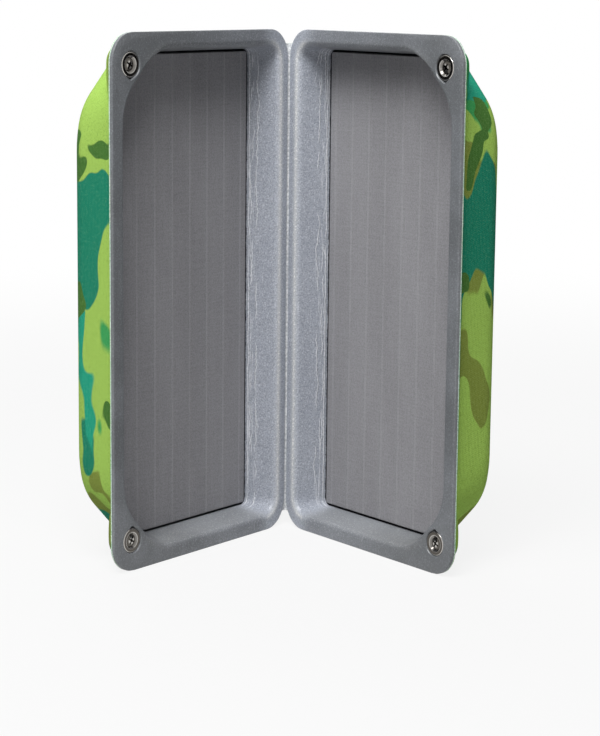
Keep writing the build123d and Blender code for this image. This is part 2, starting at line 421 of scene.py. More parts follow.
class Skin:
    """Mesh that grows ring by ring."""

    def __init__(self, rings: list[np.ndarray]) -> None:
        """Grows the mesh.

        Args:
            rings: Rings of points, each with as many points as the others.
        """
        self.mesh = bmesh.new()
        ring = list(bmesh.ops.create_circle(self.mesh, segments=len(rings[0]), radius=1.0)["verts"])
        self.rings = [ring]
        self.steps = []
        self._place(ring, rings[0])
        for points in rings[1:]:
            ring = self._grow(ring)
            self._place(ring, points)
            self.rings.append(ring)

    def _grow(self, ring: list[bmesh.types.BMVert]) -> list[bmesh.types.BMVert]:
        """Extrudes a ring and keeps the faces of this step.

        Args:
            ring: Last ring of the mesh.

        Returns:
            The new ring, in the same order.
        """
        made = bmesh.ops.extrude_edge_only(self.mesh, edges=self._edges(ring))["geom"]
        fresh = {item for item in made if isinstance(item, bmesh.types.BMVert)}
        self.steps.append([item for item in made if isinstance(item, bmesh.types.BMFace)])
        return [next(e.other_vert(v) for e in v.link_edges if e.other_vert(v) in fresh) for v in ring]

    @staticmethod
    def _edges(ring: list[bmesh.types.BMVert]) -> list[bmesh.types.BMEdge]:
        """Edges round a ring."""
        pairs = zip(ring, ring[1:] + ring[:1])
        return [next(edge for edge in a.link_edges if edge.other_vert(a) is b) for a, b in pairs]

    @staticmethod
    def _place(ring: list[bmesh.types.BMVert], points: np.ndarray) -> None:
        """Moves a ring's vertices to their points."""
        for vertex, point in zip(ring, points):
            vertex.co = point

    def cap(self) -> None:
        """Closes the first and the last ring."""
        for ring in (self.rings[0], self.rings[-1]):
            bmesh.ops.contextual_create(self.mesh, geom=self._edges(ring))


def lay_cloth(mesh: bmesh.types.BMesh, place: Callable[[bmesh.types.BMVert], tuple[float, float]]) -> None:
    """Gives every point its coordinates along the piece's surface.

    Args:
        mesh: Mesh to mark.
        place: Gives a point's coordinates, in metres.
    """
    surface = mesh.loops.layers.uv.new("surface")
    for face in mesh.faces:
        for loop in face.loops:
            loop[surface].uv = place(loop.vert)


def shade(data: bpy.types.Mesh, materials: Sequence[bpy.types.Material], sharp: float = SHARP) -> None:
    """Gives a mesh its materials, and smooth shading with sharp edges.

    Args:
        data: Mesh without materials.
        materials: Materials, in the order of the faces' indices.
        sharp: Angle past which an edge is shaded sharp, in degrees.
    """
    for material in materials:
        data.materials.append(material)
    data.shade_smooth()
    data.set_sharp_from_angle(angle=radians(sharp))


def finish_piece(
    name: str,
    mesh: bmesh.types.BMesh,
    materials: Sequence[bpy.types.Material] = (),
    sharp: float = SHARP,
) -> bpy.types.Object:
    """Turns a bmesh into a finished object at the origin.

    Args:
        name: Name of the piece.
        mesh: Closed mesh, in metres, in the scene's frame.
        materials: Materials, in the order of the faces' indices.
        sharp: Angle past which an edge is shaded sharp, in degrees.

    Returns:
        The object.
    """
    mesh.normal_update()
    bmesh.ops.recalc_face_normals(mesh, faces=mesh.faces)
    data = bpy.data.meshes.new(name)
    mesh.to_mesh(data)
    mesh.free()
    shade(data, materials, sharp)
    piece = bpy.data.objects.new(name, data)
    bpy.context.scene.collection.objects.link(piece)
    return piece


def carve(piece: bpy.types.Object, cutter: bpy.types.Object) -> None:
    """Cuts one piece's shape out of another and removes the cutter.

    Args:
        piece: Piece that is cut.
        cutter: Closed piece that cuts.
    """
    finishes = list(piece.data.materials)
    cut = piece.modifiers.new("carve", "BOOLEAN")
    cut.object = cutter
    cut.solver = "MANIFOLD"
    graph = bpy.context.evaluated_depsgraph_get()
    made = bpy.data.meshes.new_from_object(piece.evaluated_get(graph))
    piece.modifiers.remove(cut)
    piece.data = made
    made.materials.clear()
    shade(made, finishes)
    bpy.data.objects.remove(cutter)


def lathe(profile: list[tuple[float, float]], steps: int) -> bmesh.types.BMesh:
    """Spins a profile round the Z axis.

    Args:
        profile: Radius and depth of each point, from one end on the axis or round a closed ring.
        steps: Steps of a full turn.

    Returns:
        The mesh, open where the profile is.
    """
    mesh = bmesh.new()
    points = [mesh.verts.new((radius, 0, depth)) for radius, depth in profile]
    edges = [mesh.edges.new(pair) for pair in zip(points, points[1:])]
    geometry = points + edges
    bmesh.ops.spin(
        mesh, geom=geometry, axis=(0, 0, 1), cent=(0, 0, 0), angle=2 * pi, steps=steps, use_merge=True
    )
    bmesh.ops.remove_doubles(mesh, verts=mesh.verts, dist=MERGED)
    return mesh


# --------------------------------------------------------------------------------------------------------
# Shader maths

MIX_FACTOR, MIX_FIRST, MIX_SECOND, MIX_RESULT = 0, 6, 7, 2  # the Mix node's sockets for colours


class Wire:
    """Socket of a shader tree that adds Math nodes as it is used in sums."""

    def __init__(self, tree: bpy.types.NodeTree, socket: bpy.types.NodeSocket | None) -> None:
        """Holds a socket.

        Args:
            tree: Tree that the socket is in.
            socket: The socket, or None on a node that gives nothing out.
        """
        self.tree = tree
        self.socket = socket

    def math(self, operation: str, *values: "Wire | float") -> "Wire":
        """Adds a Math node."""
        return add_node(self.tree, "Math", {"operation": operation}, dict(enumerate(values)))

    def __add__(self, other: "Wire | float") -> "Wire":
        """Sum."""
        return self.math("ADD", self, other)

    def __sub__(self, other: "Wire | float") -> "Wire":
        """Difference."""
        return self.math("SUBTRACT", self, other)

    def __rsub__(self, other: "Wire | float") -> "Wire":
        """Difference from a number."""
        return self.math("SUBTRACT", other, self)

    def __mul__(self, other: "Wire | float") -> "Wire":
        """Product."""
        return self.math("MULTIPLY", self, other)

    def __truediv__(self, other: "Wire | float") -> "Wire":
        """Quotient."""
        return self.math("DIVIDE", self, other)

    def __rtruediv__(self, other: "Wire | float") -> "Wire":
        """Quotient of a number."""
        return self.math("DIVIDE", other, self)

    __radd__ = __add__
    __rmul__ = __mul__

    def sine(self) -> "Wire":
        """Sine of the value."""
        return self.math("SINE", self)

    def size(self) -> "Wire":
        """Value without its sign."""
        return self.math("ABSOLUTE", self)

    def most(self, other: "Wire | float") -> "Wire":
        """Higher of two values."""
        return self.math("MAXIMUM", self, other)

    def step(self, low: float, high: float) -> "Wire":
        """Rises smoothly from 0 at low to 1 at high."""
        sockets = {"Value": self, "From Min": low, "From Max": high}
        return add_node(self.tree, "MapRange", {"interpolation_type": "SMOOTHSTEP"}, sockets, "Result")


def add_node(
    tree: bpy.types.NodeTree, kind: str, settings: dict, sockets: dict, output: int | str = 0
) -> Wire:
    """Adds a node to a shader tree.

    Args:
        tree: The tree.
        kind: Type of the node, without its prefix.
        settings: Attributes, set before the sockets.
        sockets: Values or links of its sockets, by name or number.
        output: Output that is wanted.

    Returns:
        The output.
    """
    node = tree.nodes.new(f"ShaderNode{kind}")
    for key, value in settings.items():
        setattr(node, key, value)
    for key, value in sockets.items():
        if isinstance(value, Wire):
            tree.links.new(value.socket, node.inputs[key])
        else:
            node.inputs[key].default_value = value
    return Wire(tree, node.outputs[output] if node.outputs else None)


def linear(code: str) -> tuple[float, float, float]:
    """Linear colour of a hexadecimal display colour."""
    values = [int(code[place : place + 2], 16) / 255 for place in (0, 2, 4)]
    return tuple(v / 12.92 if v <= 0.04045 else ((v + 0.055) / 1.055) ** 2.4 for v in values)


def solid(color: "Wire | tuple[float, ...]") -> "Wire | tuple[float, ...]":
    """Colour as a socket takes it: a link, or a value with its alpha."""
    return color if isinstance(color, Wire) else (*color, 1.0)


class Paint:
    """Material, or the world's light, under construction."""

    def __init__(self, name: str, tree: bpy.types.NodeTree | None = None) -> None:
        """Starts with an empty tree.

        Args:
            name: Name of the material.
            tree: Tree to use instead of a new material's.
        """
        if tree is None:
            self.material = bpy.data.materials.new(name)
            self.material.use_nodes = True
            tree = self.material.node_tree
        self.tree = tree
        self.tree.nodes.clear()

    def node(
        self,
        kind: str,
        settings: dict | None = None,
        output: int | str = 0,
        numbered: dict | None = None,
        **named: object,
    ) -> Wire:
        """Adds a node.

        Args:
            kind: Type of the node, without its prefix.
            settings: Attributes, set before the sockets.
            output: Output that is wanted.
            numbered: Values or links of its sockets, by number.
            named: Values or links of its sockets, by name, with _ for a space.

        Returns:
            The output.
        """
        sockets = {key.replace("_", " "): value for key, value in named.items()}
        return add_node(self.tree, kind, settings or {}, {**sockets, **(numbered or {})}, output)

    def place(self) -> Wire:
        """Object coordinates."""
        return self.node("TexCoord", output="Object")

    def cloth(self) -> Wire:
        """Coordinates along the piece's surface, in metres."""
        return self.node("UVMap", {"uv_map": "surface"})

    def mark(self, name: str) -> Wire:
        """Value of one of the piece's own attributes."""
        return self.node("Attribute", {"attribute_name": name}, output="Fac")

    def vectors(self, operation: str, first: Wire, second: "Wire | tuple[float, float, float]") -> Wire:
        """Vector Math of two vectors."""
        return self.node("VectorMath", {"operation": operation}, numbered={0: first, 1: second})

    def scaled(self, vector: Wire, factors: tuple[float, float, float]) -> Wire:
        """Vector with each part scaled."""
        return self.vectors("MULTIPLY", vector, factors)

    def parts(self, vector: Wire) -> tuple[Wire, Wire, Wire]:
        """X, Y and Z of a vector."""
        split = self.node("SeparateXYZ", Vector=vector).socket.node
        return tuple(Wire(self.tree, split.outputs[axis]) for axis in range(3))

    def noise(
        self, vector: Wire, scale: float, detail: float = 2.0, rough: float = 0.5, shift: float = 0.0
    ) -> Wire:
        """Noise.

        Args:
            vector: Coordinates.
            scale: Cells to the metre.
            detail: Octaves.
            rough: Strength of the finer octaves.
            shift: Distance that sets one noise apart from another.

        Returns:
            Value from 0 to 1.
        """
        moved = self.vectors("ADD", vector, (shift, shift * 0.7, shift * 1.3))
        return self.node("TexNoise", Vector=moved, Scale=scale, Detail=detail, Roughness=rough)

    def warped(self, vector: Wire, scale: float, amount: float, shift: float = 0.0) -> Wire:
        """Vector pushed about by noise.

        Args:
            vector: Coordinates.
            scale: Noise cells to the metre.
            amount: Greatest push, in metres.
            shift: Distance that sets one noise apart from another.

        Returns:
            The pushed coordinates.
        """
        moved = self.vectors("ADD", vector, (shift, -shift, shift))
        push = self.node("TexNoise", output="Color", Vector=moved, Scale=scale, Detail=1.0)
        centred = self.vectors("SUBTRACT", push, (0.5, 0.5, 0.5))
        return self.vectors("ADD", vector, self.scaled(centred, (2 * amount,) * 3))

    def mix(
        self, factor: "Wire | float", first: "Wire | tuple[float, ...]", second: "Wire | tuple[float, ...]"
    ) -> Wire:
        """Mixes two colours.

        Args:
            factor: Share of the second.
            first: Colour at 0.
            second: Colour at 1.

        Returns:
            The mixed colour.
        """
        numbered = {MIX_FACTOR: factor, MIX_FIRST: solid(first), MIX_SECOND: solid(second)}
        return self.node("Mix", {"data_type": "RGBA"}, MIX_RESULT, numbered)

    def bump(self, height: Wire, distance: float, strength: float = 1.0, under: Wire | None = None) -> Wire:
        """Bump.

        Args:
            height: Height, in shares of the distance.
            distance: Height of 1, in metres.
            strength: Strength of the effect.
            under: Bump that this one lies on.

        Returns:
            The normal.
        """
        lower = {} if under is None else {"Normal": under}
        return self.node("Bump", Height=height, Distance=distance, Strength=strength, **lower)

    def finish(
        self, color: "Wire | tuple[float, ...]", roughness: "Wire | float", **more: object
    ) -> bpy.types.Material:
        """Ends the material in a Principled shader.

        Args:
            color: Base colour.
            roughness: Roughness.
            more: Other sockets, by name, with _ for a space.

        Returns:
            The material.
        """
        self.end(self.node("BsdfPrincipled", Base_Color=solid(color), Roughness=roughness, **more))
        return self.material

    def end(self, shader: Wire, target: str = "Material") -> None:
        """Links a shader to the output of a material or a world."""
        self.node(f"Output{target}", Surface=shader)

    def seen(self) -> Wire:
        """Tells the rays that see the white background from those that light the box.

        Returns:
            1 for rays from the camera, mirrors and glass.
        """
        path = self.node("LightPath").socket.node
        rays = ("Is Camera Ray", "Is Glossy Ray", "Is Transmission Ray")
        camera, mirror, glass = (Wire(self.tree, path.outputs[ray]) for ray in rays)
        return camera.most(mirror).most(glass)


# --------------------------------------------------------------------------------------------------------
# Finishes


@dataclass(frozen=True)
class Crease:
    """Long crease in the skin, all down a wall by the hinge.

    Args:
        depth: Depth from the flange, in metres.
        wander: How far it wanders, in metres.
        least: Least noise where it shows.
        strength: How strongly it shows.
    """

    depth: float
    wander: float
    least: float
    strength: float


@dataclass(frozen=True)
class MouldedFoam:
    """Skin of the moulded foam: satin grey with a fine grain and painted glints. Down the walls by the
    hinge it is creased and paler, partly stretched foam and partly painted sheen; the lips there carry a
    painted highlight, and the gap round the panel painted shade.

    Args:
        panel_depth: Depth of the fly panel's face from the flange, in metres.
        flange: Colour of the plain skin.
        wall: Colour of the paler skin down the walls by the hinge, partly stretched foam and partly painted
            sheen.
        crest_highlight: Colour of the painted highlight along the lips by the hinge.
        grain: Size of the grain, in metres.
        creases: Long creases of the walls.
        crease_width: From the middle of a crease to where it starts and stops to fade, in metres.
        wrinkle_depth: Depth at which fine wrinkles start to show, and show fully, in metres.
        gap_shade_depth: The same for the painted shade in the gap round the panel, from the panel's face.
        gap_shade_ragged: How uneven that painted shade's edge is, in metres.
    """

    panel_depth: float
    flange: str = "65686b"
    wall: str = "a3a8b3"
    crest_highlight: str = "e6e6e2"
    grain: float = 0.0006
    creases: tuple[Crease, ...] = (
        Crease(0.0134, 0.0006, 0.34, 1.0),
        Crease(0.0124, 0.0016, 0.46, 0.9),
        Crease(0.0116, 0.0012, 0.50, 0.7),
        Crease(0.0098, 0.0020, 0.44, 0.8),
        Crease(0.0084, 0.0024, 0.56, 0.5),
    )
    crease_width: tuple[float, float] = (0.00005, 0.00036)
    wrinkle_depth: tuple[float, float] = (0.007, 0.0125)
    gap_shade_depth: tuple[float, float] = (0.0002, 0.00045)
    gap_shade_ragged: float = 0.0016

    def material(self) -> bpy.types.Material:
        """Builds the material.

        Returns:
            The material.
        """
        paint = Paint("moulded_foam")
        place = paint.place()
        grain = paint.noise(place, 1 / self.grain, 2.0, 0.6)
        # Painted glints: pale specks that stand in for light caught by the foam's grain.
        glints = paint.noise(place, 1.1 / self.grain, 0.0, 0.5, 3.0).step(0.55, 0.75)
        pebble = paint.noise(place, 0.6 / self.grain, 1.0, 0.5, 5.0)
        cloud = paint.noise(place, 45.0, 3.0, 0.55, 7.0).step(0.35, 0.7)
        stretch = paint.mark("stretch")
        crease = self._creases(paint)
        # Paler down the walls by the hinge: partly stretched foam, partly painted sheen.
        tone = paint.mix(stretch, linear(self.flange), linear(self.wall))
        tone = paint.mix(cloud * 0.14, tone, linear("c0c4cc"))
        tone = paint.mix((1 - grain.step(0.3, 0.6)) * (0.28 + 0.08 * stretch), tone, linear("34373b"))
        # Painted glints, stronger on the paler walls by the hinge.
        tone = paint.mix(glints * (0.08 + 0.26 * stretch), tone, linear("e6e9ee"))
        # Painted highlight along the lips, broken up by the painted glints.
        tone = paint.mix(paint.mark("crest_highlight") * (0.4 + 0.5 * glints), tone, linear(self.crest_highlight))
        tone = paint.mix(crease * 0.95, tone, linear("eceef2"))
        # Painted shade in the gap round the panel.
        tone = paint.mix(self._gap_shade(paint) * 0.92, tone, linear("15171b"))
        rough = 0.29 + 0.2 * grain - 0.02 * stretch
        normal = paint.bump(pebble, 0.0001, 0.3)
        normal = paint.bump(grain, 0.0001, 0.3, normal)
        normal = paint.bump(crease, 0.0003, 0.9, normal)
        return paint.finish(tone, rough, Normal=normal, Specular_IOR_Level=0.55)

    def _gap_shade(self, paint: Paint) -> Wire:
        """Painted shade on the wall below the panel's face, in the gap between the skin and the panel.

        Args:
            paint: Material under construction.

        Returns:
            1 where the shade is painted.
        """
        cloth = paint.cloth()
        down, _, _ = paint.parts(cloth)
        jagged = paint.noise(paint.scaled(cloth, (0.0, 1.0, 0.0)), 260.0, 4.0, 0.7, 13.0) - 0.5
        low, high = self.gap_shade_depth
        return (down + self.gap_shade_ragged * jagged).step(self.panel_depth + low, self.panel_depth + high)

    def _creases(self, paint: Paint) -> Wire:
        """Thin uneven creases along the walls, where the skin's attribute asks for them.

        Args:
            paint: Material under construction.

        Returns:
            Strength of the creases.
        """
        cloth = paint.cloth()
        across, _, _ = paint.parts(paint.warped(cloth, 160.0, 0.0004, 1.0))
        along = paint.scaled(cloth, (0.0, 1.0, 0.0))
        total = None
        for order, crease in enumerate(self.creases):
            drift = paint.noise(along, 60.0, 4.0, 0.66, 4.0 * order) - 0.5
            line = (across - crease.depth - 3 * crease.wander * drift).size()
            broken = paint.noise(along, 40.0, 2.0, 0.6, 4.0 * order + 2)
            broken = broken.step(crease.least, crease.least + 0.08)
            thin = (1 - line.step(*self.crease_width)) * broken * crease.strength
            total = thin if total is None else total.most(thin)
        beads = paint.noise(cloth, 900.0, 1.0, 0.5, 9.0).step(0.3, 0.55)
        fine = paint.noise(paint.scaled(cloth, (1.0, 0.07, 1.0)), 800.0, 2.0, 0.6, 11.0)
        wrinkles = fine.step(0.52, 0.72) * across.step(*self.wrinkle_depth) * 0.5
        return (total * (0.45 + 0.55 * beads)).most(wrinkles) * paint.mark("crease")


@dataclass(frozen=True)
class PressedFilm:
    """Foam film of the hinge, pressed thin, with beads of foam along it. Its pale tone and near-white beads
    are partly pressed foam and partly a painted highlight along the hinge line.

    Args:
        base: Its colour.
    """

    base: str = "c4c7ca"

    def material(self) -> bpy.types.Material:
        """Builds the material.

        Returns:
            The material.
        """
        paint = Paint("pressed_film")
        beads = paint.noise(paint.place(), 1300.0, 1.0, 0.5).step(0.35, 0.65)
        # Pale, with near-white beads: partly pressed foam, partly a painted highlight along the hinge line.
        tone = paint.mix(beads * 0.8, linear(self.base), linear("f2f3f4"))
        return paint.finish(tone, 0.5, Normal=paint.bump(beads, 0.0001, 0.6), Specular_IOR_Level=0.5)


@dataclass(frozen=True)
class SlitFoam:
    """Foam of the fly panels: matte, brushed along the slits, paler along their cut lips.

    Args:
        name: Name of the finish.
        pitch: Between slits, in metres.
        first: From the hinge's axis to the first slit, in metres.
        base: Its colour.
        lip: From the slit to where its paler lip starts and stops to fade, in metres.
    """

    name: str
    pitch: float
    first: float
    base: str = "807f82"
    lip: tuple[float, float] = (0.0001, 0.0007)

    def material(self) -> bpy.types.Material:
        """Builds the material.

        Returns:
            The material.
        """
        paint = Paint(self.name)
        cloth = paint.cloth()
        across, _, _ = paint.parts(cloth)
        brush = paint.noise(paint.scaled(cloth, (1.0, 0.04, 1.0)), 1500.0, 3.0, 0.6)
        rows = paint.noise(paint.scaled(cloth, (0.05, 1.0, 1.0)), 1300.0, 2.0, 0.6, 2.0)
        grain = paint.noise(paint.place(), 1900.0, 2.0, 0.6)
        cloud = paint.noise(paint.scaled(cloth, (1.0, 0.2, 1.0)), 60.0, 2.0, 0.5, 5.0)
        turns = (across - self.first) / self.pitch + 0.5
        phase = turns.math("FRACT", turns)
        lip = 1 - ((phase - 0.5).size() * self.pitch).step(*self.lip)
        tone = paint.mix(brush * 0.2 + rows * 0.2, linear(self.base), linear("c4c4c8"))
        tone = paint.mix((1 - grain.step(0.3, 0.62)) * 0.3, tone, linear("404043"))
        tone = paint.mix(cloud.step(0.3, 0.7) * 0.08, tone, linear("c8c8cc"))
        tone = paint.mix(lip * 0.16, tone, linear("d0d0d4"))
        normal = paint.bump(grain, 0.00007, 0.6)
        normal = paint.bump(brush, 0.00005, 0.6, normal)
        return paint.finish(tone, 0.86, Normal=normal, Specular_IOR_Level=0.2)


@dataclass(frozen=True)
class PrintLayer:
    """One colour of the printed camouflage.

    Args:
        color: Its colour.
        scale: Patches to the metre.
        least: Least noise where it is printed.
        shift: Distance that sets its patches apart from the other colours'.
        stretch: How much denser the patches lie across, along and through the cloth.
    """

    color: str
    scale: float
    least: float
    shift: float
    stretch: tuple[float, float, float]


@dataclass(frozen=True)
class PrintedKnit:
    """Knit cover printed with a plain woodland camouflage of greens.

    Args:
        base: Colour of the cloth.
        layers: Colours printed on it, in order.
        course: Width of a row of loops, in metres.
        ragged: How soft the edge of a patch is, in shares of the noise.
    """

    base: str = "a5ca5c"
    layers: tuple[PrintLayer, ...] = (
        PrintLayer("85923f", 24.0, 0.58, 3.0, (1.15, 0.60, 1.0)),
        PrintLayer("38a05a", 23.0, 0.585, 6.0, (1.0, 0.50, 1.0)),
        PrintLayer("028068", 26.0, 0.615, 12.0, (1.0, 0.55, 1.0)),
        PrintLayer("12a084", 25.0, 0.60, 17.0, (1.0, 0.52, 1.0)),
        PrintLayer("44702f", 40.0, 0.64, 23.0, (0.9, 0.70, 1.0)),
    )
    course: float = 0.00085
    ragged: float = 0.004

    def material(self) -> bpy.types.Material:
        """Builds the material.

        Returns:
            The material.
        """
        paint = Paint("printed_knit")
        cloth = paint.cloth()
        across, along, _ = paint.parts(cloth)
        ribs = (across * (2 * pi / self.course)).sine() * 0.5 + 0.5
        loops = (along * (2 * pi / (self.course * 0.9)) + across * (pi / self.course)).sine() * 0.5 + 0.5
        knit = ribs * 0.65 + loops * 0.35
        fuzz = paint.noise(paint.place(), 1900.0, 2.0, 0.6)
        tone = self._print(paint, cloth)
        # Lighter on the ribs and darker between them: painted light and shade of the knit's relief, with
        # pale and dark specks of fuzz.
        tone = paint.mix(knit * 0.06 + fuzz.step(0.5, 0.75) * 0.12, tone, linear("b8dc9c"))
        tone = paint.mix((1 - knit) * 0.18 + (1 - fuzz.step(0.3, 0.55)) * 0.22, tone, linear("1f4a1c"))
        normal = paint.bump(knit, 0.00012, 0.6)
        normal = paint.bump(fuzz, 0.00006, 0.5, normal)
        return paint.finish(tone, 0.95, Normal=normal, Specular_IOR_Level=0.05)

    def _print(self, paint: Paint, cloth: Wire) -> Wire:
        """Patches of colour laid over each other, as a printed camouflage is.

        Args:
            paint: Material under construction.
            cloth: The cloth's own coordinates.

        Returns:
            Colour of the print.
        """
        tone = linear(self.base)
        for layer in self.layers:
            pushed = paint.warped(paint.scaled(cloth, layer.stretch), 70.0, 0.006, layer.shift)
            patch = paint.noise(pushed, layer.scale, 1.6, 0.45, layer.shift)
            patch = patch.step(layer.least - self.ragged, layer.least + self.ragged)
            tone = paint.mix(patch, tone, linear(layer.color))
        return tone


@dataclass(frozen=True)
class CutEdge:
    """Cut edge of the knit: pale yarn ends.

    Args:
        dark: Colour between the yarn ends.
        pale: Colour of the yarn ends.
    """

    dark: str = "9fc6a6"
    pale: str = "dfeee2"

    def material(self) -> bpy.types.Material:
        """Builds the material.

        Returns:
            The material.
        """
        paint = Paint("cut_edge")
        fuzz = paint.noise(paint.place(), 2200.0, 2.0, 0.6)
        tone = paint.mix(fuzz.step(0.35, 0.65), linear(self.dark), linear(self.pale))
        return paint.finish(tone, 0.9, Normal=paint.bump(fuzz, 0.0002, 0.8))


@dataclass(frozen=True)
class Metal:
    """Plated metal with fine wear, and a painted highlight where the piece is marked.

    Args:
        name: Name of the finish.
        color: Its colour.
        roughness: Its roughness.
        smear: Colour of the faint smears on it.
        bright: Colour of the painted highlight.
    """

    name: str
    color: str
    roughness: float
    smear: str = "4e463c"
    bright: str = "cfccc7"

    def material(self) -> bpy.types.Material:
        """Builds the material.

        Returns:
            The material.
        """
        paint = Paint(self.name)
        wear = paint.noise(paint.place(), 900.0, 4.0, 0.65)
        smear = paint.noise(paint.place(), 260.0, 2.0, 0.5, 2.0).step(0.35, 0.75)
        tone = paint.mix(smear * 0.35, linear(self.color), linear(self.smear))
        # Painted highlight where the piece is marked.
        tone = paint.mix(paint.mark("rim_highlight"), tone, linear(self.bright))
        rough = self.roughness + 0.14 * wear.step(0.45, 0.75)
        return paint.finish(tone, rough, Metallic=1.0, Normal=paint.bump(wear, 0.00002, 0.4))


@dataclass(frozen=True)
class PlainPlastic:
    """Moulded plastic or film with a faint grain.

    Args:
        name: Name of the finish.
        color: Its colour.
        roughness: Its roughness.
    """

    name: str
    color: str
    roughness: float

    def material(self) -> bpy.types.Material:
        """Builds the material.

        Returns:
            The material.
        """
        paint = Paint(self.name)
        grain = paint.noise(paint.place(), 1500.0, 2.0, 0.5)
        tone = paint.mix(grain * 0.2, linear(self.color), linear("909090"))
        return paint.finish(tone, self.roughness, Normal=paint.bump(grain, 0.00003, 0.5))


# --------------------------------------------------------------------------------------------------------
# The half shells


@dataclass(frozen=True)
class HalfSizes:
    """Sizes of a half, in millimetres. Six numbers in a row are an outline: in from the hinge side, the
    outer side and the ends, from the square corner to the cut, and the radii by the hinge and of the cut.

    Args:
        flange_radius: Radius of the flange's corners.
        fabric: Thickness of the knit.
        rim_round: Rounding of the flange's edges.
        foot: Outline of the body where it rises from the flange.
        back: Outline of the body's back.
        foot_round: Rounding where the body meets the flange.
        back_round: Rounding of the back's edge.
        back_inset: From the back's outline to where its surface heads for.
        back_share: How much of that way is made before the back is closed.
        lobe_inset: From the flange's edge to the foot of an outer corner's lobe.
        lobe_share: Most of the flange's overhang that lies in front of a lobe.
        lobe_land: Least top of a lobe.
        lobe_rise: Height of the lobes.
        lobe_draft: Slope of the lobes, in degrees from upright.
        lobe_round: Rounding of the lobes' edge.
        lobe_end: From the outer corner to where a lobe starts and stops to fade.
        valley_round: Rounding between a lobe and the body.
        least_round: Rounding that is left where there is no lobe.
        least_shear: Least cosine between a column and the back's outline that is reckoned with.
        lip: Outline of the cavity's mouth, where its walls would meet the flange sharply.
        lip_round: Rounding of the broad lips.
        lip_outer_round: Rounding of the lip by the outer edge.
        lip_land: From the end of the lip's rounding to the next ring.
        lip_facing: How far a wall faces the outer edge, where its lip stops to be broad.
        pocket: Outline of the panel's pocket.
        pocket_round: Rounding of the pocket's mouth.
        floor_gap: Between the panel and the pocket's floor.
        floor_round: Rounding round the floor.
        floor_inset: From the pocket's outline to the floor's first ring.
        magnet_clearance: Round a magnet.
        mouth_depth: Depth of the flare at the mouth of a magnet's pocket.
        mouth_flare: Width of that flare.
        mouth_rise: How far the shape that cuts it stands over the flange.
        notch: Reach of the finger notch.
        notch_point: How pointed the notch is.
    """

    flange_radius: float = 11.0
    fabric: float = 0.7
    rim_round: float = 0.25
    foot: tuple[float, ...] = (2.6, 1.9, 3.0, 19.0, 10.0, 21.0)
    back: tuple[float, ...] = (5.9, 3.7, 4.8, 25.0, 10.0, 30.0)
    foot_round: float = 1.0
    back_round: float = 8.0
    back_inset: float = 16.0
    back_share: float = 0.02
    lobe_inset: float = 2.0
    lobe_share: float = 0.45
    lobe_land: float = 0.1
    lobe_rise: float = 7.2
    lobe_draft: float = 30.0
    lobe_round: float = 3.8
    lobe_end: tuple[float, float] = (27.0, 35.0)
    valley_round: float = 4.0
    least_round: float = 0.05
    least_shear: float = 0.3
    lip: tuple[float, ...] = (5.5, 6.0, 6.3, 21.9, 6.5, 22.0)
    lip_round: float = 4.0
    lip_outer_round: float = 1.2
    lip_land: float = 0.45
    lip_facing: tuple[float, float] = (-0.1, 0.6)
    pocket: tuple[float, ...] = (7.9, 7.0, 8.1, 27.0, 3.0, 10.0)
    pocket_round: float = 0.5
    floor_gap: float = 0.25
    floor_round: float = 0.4
    floor_inset: float = 2.5
    magnet_clearance: float = 0.15
    mouth_depth: float = 0.35
    mouth_flare: float = 0.3
    mouth_rise: float = 1.0
    notch: float = 0.7
    notch_point: float = 40.0


